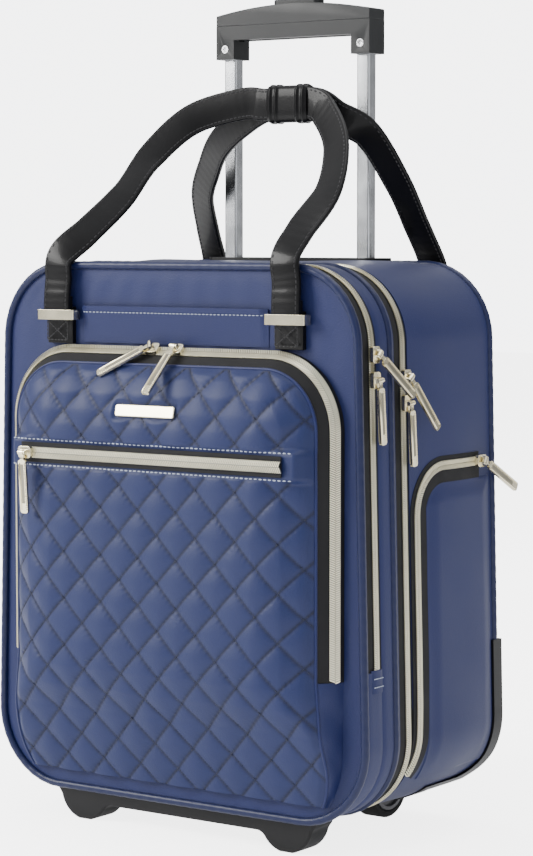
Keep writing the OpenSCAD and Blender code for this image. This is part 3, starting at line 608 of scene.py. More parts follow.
cloth_strips()
bead("second_bead", SECOND_BEAD, 0, case.length, "main_lid", ("lid_piping",), ring=True)
bead("front_bead", 0, fold_right, fold_left, "front_panel", ("front_piping",))
bead("front_bead_lower", 0, fold_left - case.length, fold_right, "", carry=(
    "main_lid", "front_panel", (0, FRONT, FOLD - 31 * MM), (0, FRONT, FOLD)))


def front_plates():
    """The front panel's own cloth, split at the fold line."""
    for name, cut, body, nodes in (("front_panel_cloth", 1, "front_panel", ("front_panel",)),
                                   ("lower_front_cloth", -1, "", ())):
        x = np.linspace(-1, 1, 60)
        z = np.linspace(FOLD, TOP - 1.2 * MM, 90) if cut > 0 else np.linspace(BOTTOM + 1.2 * MM, FOLD, 40)
        low, high = z < low_z, z > high_z
        half = side_x(z)
        half[low] = low_x + np.sqrt(np.maximum(CORNER ** 2 - (low_z - z[low]) ** 2, 0))
        half[high] = high_x + np.sqrt(np.maximum(CORNER ** 2 - (z[high] - high_z) ** 2, 0))
        half -= 1.5 * MM
        near = np.minimum(1, (1 - np.abs(x)) * 10)[None] * np.minimum(1, (TOP - z) / (14 * MM))[:, None]
        lift = (0.8 * MM * smooth(near) + 0.35 * MM * np.sin(41 * x)[None] * np.sin(90 * z)[:, None] * near)
        front = np.stack(np.broadcast_arrays(half[:, None] * x[None], FRONT - lift + 0.6 * MM,
                                             z[:, None]), -1)
        back = front.copy()
        back[..., 1] = FRONT + 3.2 * MM
        grid = np.concatenate([front, back[:, ::-1]], 1)
        piece = made(name, grid.reshape(-1, 3), tube(grid), [NYLON])
        if body:
            place(piece, body, *nodes, slot="nylon_blue")
        else:
            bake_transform(piece)
            finishes(())


front_plates()
bead("back_bead", DEPTH - 5 * MM, 0, case.length, "carcass", ring=True)

# ---------- zips ----------

TOOTH = np.array([[x, y, z] for x, y, z in (
    (-0.62, 0.2, 0), (0.62, 0.2, 0), (-0.62, 4.5, 0), (0.62, 4.5, 0),
    (-0.5, 0.2, 1.1), (0.5, 0.2, 1.1), (-0.5, 3.9, 1.2), (0.5, 3.9, 1.2), (-0.4, 4.5, 0.7), (0.4, 4.5, 0.7),
    (-0.3, 0.05, 0.6), (0.3, 0.05, 0.6))]) * MM
TOOTH_FACES = [np.array([[0, 2, 3, 1], [4, 5, 7, 6], [6, 7, 9, 8], [10, 11, 5, 4], [0, 1, 11, 10],
                         [8, 9, 3, 2]]),
               np.array([[0, 10, 4], [1, 5, 11]]),
               np.array([[0, 4, 6, 8, 2], [1, 3, 9, 7, 5]])]


def teeth(name, origin, along, across, up, body, material=None, slot="gold_metal", carry=None, lean=0.42,
          wide=1.0):
    """One half of a zip's coil: a slanted link at every station, reaching from the middle outward."""
    slant = unit(across + lean * along)
    points, faces = copies(TOOTH * np.array([0.82, wide, 1]), TOOTH_FACES, origin, along, slant, up)
    piece = made(name, points, faces, [material or COIL])
    if carry:
        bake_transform(piece)
        finishes(())
        return piece
    return place(piece, body, slot=slot)


def rim_teeth(name, line, start, end, depth, out, way, body, slope=None, carry=None, wide=1.0):
    """Links on a line's face: way is +1 or -1 in depth; slope turns the face from side towards front."""
    s = np.arange(start, end, COIL_PITCH) + (0.5 * COIL_PITCH if way < 0 else 0)
    here = line.points(s, np.array([depth]), np.array([out]))[:, 0]
    ahead = line.points(s + 0.1 * MM, np.array([depth]), np.array([out]))[:, 0]
    along = unit(ahead - here)
    _, flat = line.frame(s)
    outward_way = np.stack([flat[:, 0], np.zeros(len(s)), flat[:, 1]], -1)
    front_way = np.array([[0, -1.0, 0]])
    if slope is None:
        across, up = -way * front_way + 0 * outward_way, outward_way
    else:
        c, d = math.cos(slope), math.sin(slope)
        up = c * outward_way + d * front_way
        across = way * (d * outward_way - c * front_way)
    return teeth(name, here, along, across, up, body, carry=carry, wide=wide)


def tape_strip(name, line, start, end, d0, d1, body, nodes=(), ring=False):
    depths = np.linspace(d0, d1, 4)
    return strip(name, line, start, end, depths, np.full(4, -0.6 * MM), TAPE, body, nodes, "zip_tape",
                 thick=1.6 * MM, ring=ring)


def zips():
    gap = 0.25 * MM
    tape_strip("laptop_tape_panel", case, zip_right, zip_left, PANEL_RIM - 3.6 * MM, PANEL_ZIP - gap,
               "front_panel", ("laptop_zip_panel",))
    tape_strip("laptop_tape_lid", case, zip_right, zip_left, PANEL_ZIP + gap, LID_RIM + 0.6 * MM,
               "main_lid", ("laptop_zip_lid",))
    rim_teeth("laptop_coil_panel", case, zip_right, zip_left, PANEL_ZIP, -0.2 * MM, -1, "front_panel",
              wide=0.74)
    rim_teeth("laptop_coil_lid", case, zip_right, zip_left, PANEL_ZIP, -0.2 * MM, 1, "main_lid", wide=0.74)
    start, end = hinge_foot - case.length, hinge_top
    tape_strip("main_tape_lid", case, start, end, MAIN_ZIP - 10.4 * MM, MAIN_ZIP - gap, "main_lid",
               ("main_zip_lid",))
    tape_strip("main_tape_rear", case, start, end, MAIN_ZIP + gap, REAR_RIM + 0.6 * MM, "carcass",
               ("main_zip_rear",))
    rim_teeth("main_coil_lid", case, start, end, MAIN_ZIP, -0.2 * MM, -1, "main_lid", wide=0.7)
    rim_teeth("main_coil_rear", case, start, end, MAIN_ZIP, -0.2 * MM, 1, "carcass", wide=0.7)
    slope = math.radians(45)
    for name, inset0, inset1, body, nodes in (
            ("pocket_tape_base", 0.0, 3.0, "front_panel", ("pocket_zip_base",)),
            ("pocket_tape_flap", 3.4, 12.8, "pocket_flap", ("pocket_zip_flap",))):
        inset = np.linspace(inset0, inset1, 4) * MM
        if body == "front_panel":
            depths = np.concatenate([[-0.2 * MM, -2 * MM], -4 * MM - inset])
            outs = np.concatenate([[0, 0], -inset])
        else:
            depths, outs = -4 * MM - inset, -inset
        strip(name, pocket, 0.2 * MM, pocket.length - 0.2 * MM, depths, outs - 0.3 * MM, TAPE, body, nodes,
              "zip_tape", thick=1.5 * MM, step=3 * MM)
    mid = COIL_IN
    rim_teeth("pocket_coil_base", pocket, 0, pocket.length, -4 * MM - mid, -mid, 1, "front_panel",
              slope=slope, wide=0.92)
    rim_teeth("pocket_coil_flap", pocket, 0, pocket.length, -4 * MM - mid, -mid, -1, "pocket_flap",
              slope=slope)
    z = BOTTOM + 258 * MM
    y = FRONT - 33 * MM - 2.2 * MM
    x = np.arange(-118 * MM, 118 * MM, COIL_PITCH)
    for name, way in (("organiser_coil_upper", 1), ("organiser_coil_lower", -1)):
        origin = np.stack([x + (way < 0) * COIL_PITCH / 2, np.full(len(x), y), np.full(len(x), z)], -1)
        one = np.ones((len(x), 1))
        teeth(name, origin, one * [1.0, 0, 0], one * [0, 0, float(way)], one * [0, -1.0, 0], "pocket_flap")
    softened("organiser_zip", "pocket_flap", 0.4 * MM, TAPE, "organiser_tape", "zip_tape")


zips()

# ---------- the quilted pocket ----------

SEAM_STEP = 35 * MM
SEAM_WIDTH = 1.15 * MM
PUFF = 2.8 * MM
SEAM_X, SEAM_Z = 42.8 * MM, BOTTOM + 237.8 * MM
BAND_MID = (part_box("organiser_zip")[0].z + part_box("organiser_zip")[1].z) / 2
BADGE_Z = (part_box("badge")[0].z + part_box("badge")[1].z) / 2


def quilt_half(z):
    """Half the quilt's width at each height: straight sides, a round top, a foot that spreads out."""
    bend = POCKET_TOP - POCKET_R
    r = POCKET_R - EDGE_IN
    side = POCKET_HALF - EDGE_IN
    w = np.where(z > bend, side - r + np.sqrt(np.maximum(r ** 2 - (z - bend) ** 2, 0)), side)
    t = np.clip((FOLD - z) / (FOLD - POCKET_FOOT), 0, 1)
    return np.where(z < FOLD, side + 8 * MM * t - 30 * MM * np.clip(t * 1.6 - 1.0, 0, 1) ** 2, w)


def quilt_rise(x, z):
    """How far the quilt stands in front of the case at (x, z), before its puff.

    From the sewn edge inward it climbs 17, 28 then 33 mm; below the fold the same climb is
    spread from the foot upward, and the lower of the two is taken with a soft corner."""
    half = quilt_half(z)
    bend = POCKET_TOP - POCKET_R
    cx = POCKET_HALF - POCKET_R
    past_x, past_z = np.maximum(np.abs(x) - cx, 0), np.maximum(z - bend, 0)
    inset = np.where(z > bend, np.where(past_x > 0, POCKET_R - np.hypot(past_x, past_z), POCKET_TOP - z),
                     half - np.abs(x) + EDGE_IN)
    side = np.interp(inset, np.array([13, 22, 34, 46, 58]) * MM, np.array([17, 22.8, 28.2, 30.9, 33]) * MM)
    band = np.interp(inset, np.array([13, 17, 22, 60]) * MM, np.array([17, 26, 32.6, 33]) * MM)
    in_band = smooth((13 * MM - np.abs(z - BAND_MID)) / (5 * MM))
    side = side + (band - side) * in_band
    foot = np.interp(z - BOTTOM, np.array([14, 40, 66, 84, 100, 118]) * MM,
                     np.array([3.5, 10.5, 18, 27, 31.4, 33]) * MM)
    k = 2.5 * MM
    h = np.clip(0.5 + 0.5 * (foot - side) / k, 0, 1)
    return foot * (1 - h) + side * h - k * h * (1 - h)


def quilt_puff(x, z):
    """Height of the stuffing, PUFF times (|sin pi p| |sin pi q|)^0.5 with p and q counting the
    crossing seams, plus pinched creases that run away from each seam."""
    p = ((x - SEAM_X) + (z - SEAM_Z)) / SEAM_STEP
    q = ((x - SEAM_X) - (z - SEAM_Z)) / SEAM_STEP
    a, b = np.abs(np.sin(math.pi * p)), np.abs(np.sin(math.pi * q))
    puff = PUFF * (a * b) ** 0.5
    crease = (np.sin(2 * math.pi * p * 5.5 + 3 * np.sin(q * 4.1)) * np.exp(-b * 4.5)
              + np.sin(2 * math.pi * q * 5.5 + 3 * np.sin(p * 3.7)) * np.exp(-a * 4.5))
    slow = np.sin(61 * x + 17 * z + 0.7) * np.sin(23 * x - 71 * z + 2.1)
    edge = quilt_half(z) - np.abs(x)
    calm = 1 - smooth((11.5 * MM - np.abs(z - BAND_MID)) / (3 * MM))
    by_badge = smooth((31 * MM - np.abs(x + 3 * MM)) / (5 * MM))
    calm *= 1 - by_badge * smooth((8.5 * MM - np.abs(z - BADGE_Z)) / (4 * MM))
    fade = smooth(edge / (6 * MM)) * smooth((POCKET_TOP - EDGE_IN - z) / (6 * MM))
    return (puff + 0.28 * MM * crease + 0.35 * MM * slow * (a * b)) * calm * fade


def seam_shade(x, z):
    """Painted shade in the quilting seam creases: 1 on a seam, falling away as exp(-(gap / SEAM_WIDTH)^2),
    and 0 on the zip's band.
    """
    p = ((x - SEAM_X) + (z - SEAM_Z)) / SEAM_STEP
    q = ((x - SEAM_X) - (z - SEAM_Z)) / SEAM_STEP
    gap = np.minimum(np.abs(p - np.round(p)), np.abs(q - np.round(q))) * SEAM_STEP / math.sqrt(2)
    calm = 1 - smooth((12 * MM - np.abs(z - BAND_MID)) / (2 * MM))
    return np.exp(-(gap / SEAM_WIDTH) ** 2) * calm


def quilt_piece(name, z0, z1, nodes):
    """One height range of the quilt, closed behind by its lining."""
    rows = int((z1 - z0) / (1.35 * MM))
    z = np.linspace(z0, z1, rows)
    if z1 > FOLD + 1 * MM:
        turn = np.linspace(0, math.pi / 2, 40)[1:]
        bend = POCKET_TOP - POCKET_R
        z = np.concatenate([np.arange(z0, bend, 1.35 * MM), bend + (POCKET_R - EDGE_IN) * np.sin(turn)])
    u = np.linspace(-1, 1, 205)
    x = quilt_half(z)[:, None] * u[None]
    zz = np.broadcast_to(z[:, None], x.shape)
    rise = quilt_rise(x, zz)
    front = np.stack([x, FRONT - rise - quilt_puff(x, zz), zz], -1)
    back = np.stack([x, FRONT - rise + 3 * MM, zz], -1)
    grid = np.concatenate([front, back[:, ::-1]], 1)
    faces = tube(grid)
    across = np.arange(grid.shape[1])
    lining = np.broadcast_to((across >= len(u) - 1) & (across < 2 * len(u) - 1), (len(z) - 1, len(across)))
    piece = made(name, grid.reshape(-1, 3), faces, [QUILT, LINING],
                 np.concatenate([lining.ravel(), [0, 0]]), level=False)
    piece.data.set_sharp_from_angle(angle=math.radians(72))
    # painted shade: the crease shade along the quilting seams, stored as the "seam" attribute that darkens
    # the quilt cloth
    dark = np.zeros(grid.shape[:2], np.float32)
    dark[:, :len(u)] = seam_shade(x, zz)
    piece.data.attributes.new("seam", "FLOAT", "POINT").data.foreach_set("value", dark.ravel())
    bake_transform(piece)
    finishes(nodes)
    return piece


UPPER = ("front_panel", "pocket_flap", (0, FRONT, FOLD), (0, FRONT, FOLD + 34 * MM))
LOWER = ("main_lid", "front_panel", (0, FRONT, FOLD - 31 * MM), (0, FRONT, FOLD))
quilt_piece("quilt_upper", FOLD, POCKET_TOP - EDGE_IN, ("quilted_panel",))
quilt_piece("quilt_lower", POCKET_FOOT, FOLD, ("quilted_panel_lower",))

STITCH = np.array([[-1.25, 0, 0.02], [-0.7, 0.42, 0.1], [-0.7, -0.42, 0.1], [-0.5, 0, 0.5],
                   [0.5, 0, 0.5], [0.7, 0.42, 0.1], [0.7, -0.42, 0.1], [1.25, 0, 0.02], [0, 0, -0.5]]) * MM
STITCH_FACES = [np.array([[0, 2, 3], [0, 3, 1], [7, 4, 6], [7, 5, 4], [0, 1, 8], [0, 8, 2], [7, 8, 5],
                          [7, 6, 8], [1, 5, 8], [2, 8, 6]]),
                np.array([[1, 3, 4, 5], [3, 2, 6, 4]])]


def sewn(name, origin, along, up, body, material=THREAD_DARK, size=1.0, carry=None):
    """Raised thread stitches: along is the seam's way, up is off the cloth."""
    along = unit(np.broadcast_to(along, origin.shape).astype(float))
    up = unit(np.broadcast_to(up, origin.shape).astype(float))
    points, faces = copies(STITCH * size, STITCH_FACES, origin, along, np.cross(up, along), up)
    piece = made(name, points, faces, [material])
    if carry:
        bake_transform(piece)
        return piece
    return place(piece, body)


def quilt_point(x, z):
    return np.stack([x, FRONT - quilt_rise(x, z) - quilt_puff(x, z), z], -1)


def quilt_stitches():
    """Dark stitches 3.2 mm apart along both families of seams."""
    t = np.arange(-0.45, 0.45, 3.2 * MM)
    for name, z0, z1, carry in (("quilt_stitches_upper", FOLD, POCKET_TOP - EDGE_IN - 2 * MM, UPPER),
                                ("quilt_stitches_lower", POCKET_FOOT + 3 * MM, FOLD, LOWER)):
        found, ways = [], []
        for family in (1, -1):
            for k in range(-16, 17):
                x = SEAM_X + k * SEAM_STEP + t / math.sqrt(2)
                z = SEAM_Z - family * t / math.sqrt(2)
                keep = (z > z0) & (z < z1)
                keep &= np.abs(x) < quilt_half(z) - 2 * MM
                keep &= np.abs(z - BAND_MID) > 10.5 * MM
                here = quilt_point(x[keep], z[keep])
                step = 0.5 * MM
                ahead = quilt_point(x[keep] + step, z[keep] - family * step)
                found.append(here)
                ways.append(ahead - here)
        origin, along = np.concatenate(found), np.concatenate(ways)
        sewn(name, origin, along, [0, -1, 0], "", size=1.15, carry=carry)
    x = np.arange(-128 * MM, 128 * MM, 4 * MM)
    rows = [quilt_point(x, np.full(len(x), BAND_MID + off)) for off in (9.6 * MM, -9.6 * MM)]
    sewn("organiser_stitches", np.concatenate(rows), [1, 0, 0], [0, -1, 0], "pocket_flap", THREAD_PALE, 1.2)


quilt_stitches()


def lower_sides():
    """Plain cloth below the pocket zip, from the quilt's foot edge in to the front panel."""
    z = np.linspace(POCKET_FOOT - 0.5 * MM, FOLD, 40)
    t = np.clip((FOLD - z) / (FOLD - POCKET_FOOT), 0, 1)
    half = quilt_half(z)
    rise = quilt_rise(half - 0.3 * MM, z)
    base = POCKET_HALF - 0.5 * MM - 2 * MM * t - 28 * MM * np.clip(t * 1.6 - 1.0, 0, 1) ** 2
    for side, name in ((1, "lower_gusset_right"), (-1, "lower_gusset_left")):
        k = np.linspace(0, 1, 10)[None]
        x = half[:, None] + (base - half)[:, None] * k ** 0.8
        slack = 1.4 * MM * np.sin(k * math.pi) * np.sin(z * 190)[:, None]
        y = FRONT - rise[:, None] * (1 - k) - 0.4 * MM + slack
        y[:, 0] = FRONT - rise + 0.4 * MM
        outer = np.stack([side * x, y, np.broadcast_to(z[:, None], x.shape)], -1)
        inner = outer + np.array([-side * 1.5 * MM, 1.5 * MM, 0])
        grid = np.concatenate([outer, inner[:, ::-1]], 1)
        piece = made(name, grid.reshape(-1, 3), tube(grid), [NYLON])
        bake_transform(piece)
        finishes(())


lower_sides()


def quilt_binding():
    """The thin turned edge that finishes the quilt all the way round."""
    z = np.concatenate([np.linspace(POCKET_FOOT, FOLD, 50), np.linspace(FOLD, POCKET_TOP - POCKET_R, 90)[1:]])
    turn = np.linspace(0, math.pi / 2, 30)[1:]
    r = POCKET_R - EDGE_IN
    right = np.concatenate([
        np.stack([quilt_half(z), z], -1),
        np.stack([POCKET_HALF - POCKET_R + r * np.cos(turn), POCKET_TOP - POCKET_R + r * np.sin(turn)], -1)])
    top = np.linspace(POCKET_HALF - POCKET_R, -(POCKET_HALF - POCKET_R), 80)[1:-1]
    line = np.concatenate([right, np.stack([top, np.full(len(top), POCKET_TOP - EDGE_IN)], -1),
                           right[::-1] * [-1, 1]])
    rise = quilt_rise(np.sign(line[:, 0]) * np.maximum(np.abs(line[:, 0]) - 0.2 * MM, 0), line[:, 1])
    path = np.stack([line[:, 0], FRONT - rise + 0.2 * MM, line[:, 1]], -1)
    above, below = path[:, 2] >= FOLD - 1e-6, path[:, 2] <= FOLD + 1e-6
    for name, keep, carry in (("quilt_binding_upper", above, UPPER),
                              ("quilt_binding_lower_right", below & (path[:, 0] > 0), LOWER),
                              ("quilt_binding_lower_left", below & (path[:, 0] < 0), LOWER)):
        piece = cord_along(name, path[keep], 1.15 * MM, NYLON)
        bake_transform(piece)
        finishes(())


def cord_along(name, path, radius, material, sides=8):
    """A round tube along a path of points."""
    way = unit(np.gradient(path, axis=0))
    across = unit(np.cross(way, np.array([0, 1.0, 0]) + 0 * way))
    lift = np.cross(across, way)
    a = np.radians(np.linspace(0, 360, sides + 1)[:-1])
    grid = (path[:, None] + radius * np.cos(a)[None, :, None] * across[:, None]
            + radius * np.sin(a)[None, :, None] * lift[:, None])
    return made(name, grid.reshape(-1, 3), tube(grid), [material])


quilt_binding()

# ---------- side pocket and slip pocket ----------

heights = np.linspace(BOTTOM - 0.5 * MM, TOP, 500)
height_s = np.array([case.at_height(h) for h in heights])


def on_side(depth, height, off):
    """Points on the swollen right side; height is above the body's bottom."""
    depth, height, off = np.broadcast_arrays(depth, height, off)
    s = np.interp(height.ravel() + BOTTOM, heights, height_s)
    centre, way = case.frame(s)
    d = depth.ravel()
    out = swelling(s, d, way) + off.ravel()
    p = centre + (CORNER + out)[:, None] * way
    return np.stack([p[:, 0], FRONT + d, p[:, 1]], -1).reshape(depth.shape + (3,))


SIDE_D, SIDE_TOP, SIDE_R = MAIN_ZIP + 14 * MM, 252 * MM, 36 * MM


def side_line():
    """The side zip's middle: forward at its foot, up, round the top corner, then rearward."""
    a = np.radians(np.linspace(180, 90, 24))
    arc = np.stack([SIDE_D + SIDE_R + SIDE_R * np.cos(a), SIDE_TOP - SIDE_R + SIDE_R * np.sin(a)], -1)
    foot = catmull(np.array([[MAIN_ZIP + 6 * MM, 30 * MM], [MAIN_ZIP + 9.5 * MM, 40 * MM],
                             [SIDE_D - 1.2 * MM, 58 * MM], [SIDE_D, 80 * MM]]), 10)
    line = np.concatenate([foot, arc, [[158 * MM, SIDE_TOP]]])
    length = np.concatenate([[0], np.cumsum(np.linalg.norm(np.diff(line, axis=0), axis=1))])
    return line, length


def catmull(keys, steps):
    """A smooth line through every key."""
    ends = np.concatenate([keys[:1], keys, keys[-1:]])
    t = np.linspace(0, 1, steps + 1)[:-1][None, :, None]
    p0, p1, p2, p3 = (ends[i:len(ends) - 3 + i][:, None] for i in range(4))
    line = 0.5 * (2 * p1 + (p2 - p0) * t + (2 * p0 - 5 * p1 + 4 * p2 - p3) * t ** 2
                  + (3 * p1 - p0 - 3 * p2 + p3) * t ** 3)
    return np.concatenate([line.reshape(-1, keys.shape[1]), keys[-1:]])


def side_pocket():
    """A flat pocket on the right side: puffed panel, tape and a coil in a hooked line."""
    line, length = side_line()
    at = np.arange(0, length[-1], 2.5 * MM)
    mid = np.stack([np.interp(at, length, line[:, i]) for i in range(2)], -1)
    way = unit(np.gradient(mid, axis=0))
    inward = np.stack([way[:, 1], -way[:, 0]], -1)
    across = np.array([-7, -6.8, 0, 12.6, 13]) * MM
    rise = np.array([-0.6, 0.5, 0.9, 0.7, -0.6]) * MM
    flat = mid[:, None] + inward[:, None] * across[None, :, None]
    grid = on_side(flat[..., 0], flat[..., 1], np.broadcast_to(rise, flat.shape[:2]))
    under = on_side(flat[..., 0], flat[..., 1], np.full(flat.shape[:2], -1.0 * MM))
    grid = np.concatenate([grid, under[:, ::-1]], 1)
    tape = made("side_pocket_tape", grid.reshape(-1, 3), tube(grid), [TAPE])
    place(tape, "carcass", "side_pocket_zip", slot="zip_tape")
    at = np.arange(0, length[-1], COIL_PITCH)
    mid = np.stack([np.interp(at, length, line[:, i]) for i in range(2)], -1)
    ahead = np.stack([np.interp(at + 0.2 * MM, length, line[:, i]) for i in range(2)], -1)
    here, there = on_side(mid[:, 0], mid[:, 1], 0.9 * MM), on_side(ahead[:, 0], ahead[:, 1], 0.9 * MM)
    keep = np.linalg.norm(there - here, axis=1) > 1e-6
    here, along = here[keep], unit((there - here)[keep])
    up = np.array([[1.0, 0, 0.025]]) + 0 * along
    up = unit(up - along * np.sum(up * along, -1, keepdims=True))
    side = np.cross(along, up)
    for name, turn in (("side_pocket_coil_front", -1), ("side_pocket_coil_rear", 1)):
        teeth(name, here, along, turn * side, up, "carcass", wide=0.82)
    depth = np.linspace(SIDE_D + 11 * MM, 172 * MM, 60)
    height = np.linspace(22 * MM, SIDE_TOP - 11 * MM, 120)
    d, h = np.meshgrid(depth, height)
    r = SIDE_R - 11 * MM
    cd, ch = SIDE_D + 11 * MM + r, SIDE_TOP - 11 * MM - r
    top = ch + np.sqrt(np.maximum(r ** 2 - np.minimum(d - cd, 0) ** 2, 0))
    h = 22 * MM + (h - 22 * MM) * (top - 22 * MM) / (SIDE_TOP - 33 * MM)
    edge = np.minimum(np.minimum(d - depth[0], top - h), depth[-1] - d)
    puff = 0.9 * MM + 2.1 * MM * smooth(edge / (16 * MM)) * smooth((h - 22 * MM) / (30 * MM))
    puff += 0.5 * MM * np.sin(43 * d + 11 * h) * np.sin(29 * h - 13 * d) * smooth(edge / (10 * MM))
    puff[:, 0] = puff[:, -1] = -0.8 * MM
    puff[-1] = puff[0] = -0.8 * MM
    outer = on_side(d, h, puff)
    inner = on_side(d, h, np.full(d.shape, -1.2 * MM))
    grid = np.concatenate([outer, inner[:, ::-1]], 1)
    panel = made("side_pocket_cloth", grid.reshape(-1, 3), tube(grid), [NYLON])
    place(panel, "carcass", "side_pocket_panel", slot="nylon_blue")


side_pocket()


def slip_pocket():
    """The open pocket at the top of the front: flat cloth with a turned hem and one stitch row."""
    lo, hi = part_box("slot_pocket")
    x = np.linspace(lo.x, hi.x, 90)
    z = np.concatenate([np.linspace(lo.z - 3 * MM, hi.z - 5 * MM, 14), np.linspace(hi.z - 4.6 * MM, hi.z, 8)])
    t = (z - z[0]) / (z[-1] - z[0])
    hem = 0.7 * MM * smooth((z - hi.z + 4.6 * MM) / (0.8 * MM))
    side = smooth((hi.x - np.abs(x)) / (6 * MM))
    rise = (0.9 * MM + 3.2 * MM * t ** 1.5)[:, None] * (0.35 + 0.65 * side)[None]
    rise = rise + hem[:, None] + 0.35 * MM * np.sin(60 * x)[None] * t[:, None]
    front = np.stack(np.broadcast_arrays(x[None], FRONT - 0.4 * MM - rise, z[:, None]), -1)
    back = front.copy()
    back[..., 1] += 1.2 * MM
    grid = np.concatenate([front, back[:, ::-1]], 1)
    piece = made("slip_pocket_cloth", grid.reshape(-1, 3), tube(grid), [NYLON])
    place(piece, "front_panel", "slot_pocket", slot="nylon_blue")
    line = np.arange(lo.x + 2 * MM, hi.x - 2 * MM, 3.4 * MM)
    row = np.interp(hi.z - 4.0 * MM, z, np.arange(len(z)))
    y = np.interp(line, x, front[int(row), :, 1]) - 0.1 * MM
    sewn("slip_pocket_stitches", np.stack([line, y, np.full(len(line), z[int(row)])], -1), [1, 0, 0],
         [0, -1, 0], "front_panel", THREAD_PALE, 1.0)


slip_pocket()

# ---------- straps, tabs, loops, wraps ----------

STRAP_KEYS = {
    "front_strap": [
        (-105, -8.2, -20), (-105, -8.2, -8), (-104.6, -7, 6), (-103, -6, 24), (-88, 8, 43), (-74, 32, 69),
        (-66, 58, 100), (-42, 77, 127), (0, 85, 138), (21, 86.2, 137), (61, 86.2, 137), (79, 80, 127),
        (100, 62, 104), (111, 36, 72), (106, 8, 43), (103, -6, 24), (104.6, -7, 6), (105, -8.2, -8),
        (105, -8.2, -20)],
    "rear_strap": [
        (-105, 191.2, -20), (-105, 191.2, -8), (-104.6, 190, 6), (-104, 189, 20), (-98, 172, 44),
        (-86, 149, 71), (-66, 131, 92), (-44, 115, 110), (-12, 101, 126), (21, 91.8, 137),
        (61, 91.8, 137), (78, 97, 127), (95, 113, 113), (103, 141, 78), (103, 168, 46), (103, 189, 20),
        (104.6, 190, 6), (105, 191.2, -8), (105, 191.2, -20)]}
STRAP_FOOT = BOTTOM + 380 * MM
STRAP_X = 105 * MM


def strap_piece(node, body, other):
    """A leather strap on a smooth line through its keys, edge-stitched on both faces."""
    keys = np.array(STRAP_KEYS[node], float) * MM
    keys = np.stack([keys[:, 0], FRONT + keys[:, 1], STRAP_FOOT + keys[:, 2]], -1)
    fine = catmull(keys, 16)
    way = unit(np.gradient(fine, axis=0))
    across = unit(np.stack([way[:, 2], 0 * way[:, 0], -way[:, 0]], -1))
    across = unit(across - way * np.sum(across * way, -1, keepdims=True))
    face = np.cross(way, across)
    profile = ring_profile(12 * MM, 1.9 * MM, 1.3 * MM, 3)
    length = np.concatenate([[0], np.cumsum(np.linalg.norm(np.diff(fine, axis=0), axis=1))])
    straight = np.exp(-((np.gradient(way[:, 2]) / 0.03) ** 2))[:, None]
    crease = 1 + 0.035 * np.sin(length * 900)[:, None] * straight
    grid = (fine[:, None] + profile[None, :, 0:1] * across[:, None]
            + (profile[None, :, 1:2] * crease[..., None]) * face[:, None])
    piece = made(node + "_leather", grid.reshape(-1, 3), tube(grid), [LEATHER])
    low, high = (0, 0, STRAP_FOOT + 1 * MM), (0, 0, STRAP_FOOT + 22 * MM)
    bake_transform(piece)
    finishes((node,))
    rows = []
    at = np.arange(4 * MM, length[-1] - 4 * MM, 3.6 * MM)
    pick = [np.stack([np.interp(at, length, v[:, i]) for i in range(3)], -1)
            for v in (fine, way, across, face)]
    for row in (-9.6 * MM, 9.6 * MM):
        for sign in (1, -1):
            rows.append((pick[0] + row * pick[2] + sign * 1.85 * MM * pick[3], pick[1], sign * pick[3]))
    origin, along, up = (np.concatenate(part) for part in zip(*rows))
    sewn(node + "_stitches", origin, along, up, "", THREAD_BLACK, 1.15, carry=(other, body, low, high))


strap_piece("front_strap", "front_handle", "front_panel")
strap_piece("rear_strap", "rear_handle", "carcass")
for node, body in (("front_anchor_tabs", "front_panel"), ("rear_anchor_tabs", "carcass")):
    softened(node, body, 1.2 * MM, LEATHER, slot="leather_black")
    lo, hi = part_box(node)
    sign, face = (-1, lo.y) if body == "front_panel" else (1, hi.y)
    places, ways = [], []
    for centre in (-STRAP_X, STRAP_X):
        frame_x, z0, z1 = 9.6 * MM, lo.z + 2.5 * MM, lo.z + 17 * MM
        for (ax, az), (bx, bz) in (((-1, 0), (1, 0)), ((1, 0), (1, 1)), ((1, 1), (-1, 1)), ((-1, 1), (-1, 0)),
                                   ((-1, 0), (1, 1)), ((-1, 1), (1, 0))):
            a = np.array([centre + ax * frame_x, face, z0 + az * (z1 - z0)])
            b = np.array([centre + bx * frame_x, face, z0 + bz * (z1 - z0)])
            count = int(np.linalg.norm(b - a) / (2.9 * MM))
            k = (np.arange(count) + 0.5)[:, None] / count
            places.append(a + (b - a) * k)
            ways.append(np.repeat((b - a)[None], count, 0))
    sewn(node + "_stitches", np.concatenate(places), np.concatenate(ways), [0, sign, 0], body,
         THREAD_BLACK, 1.15)

for node, body in (("front_loops", "front_panel"), ("rear_loops", "carcass")):
    softened(node, body, 1.0 * MM, GOLD, slot="gold_metal")


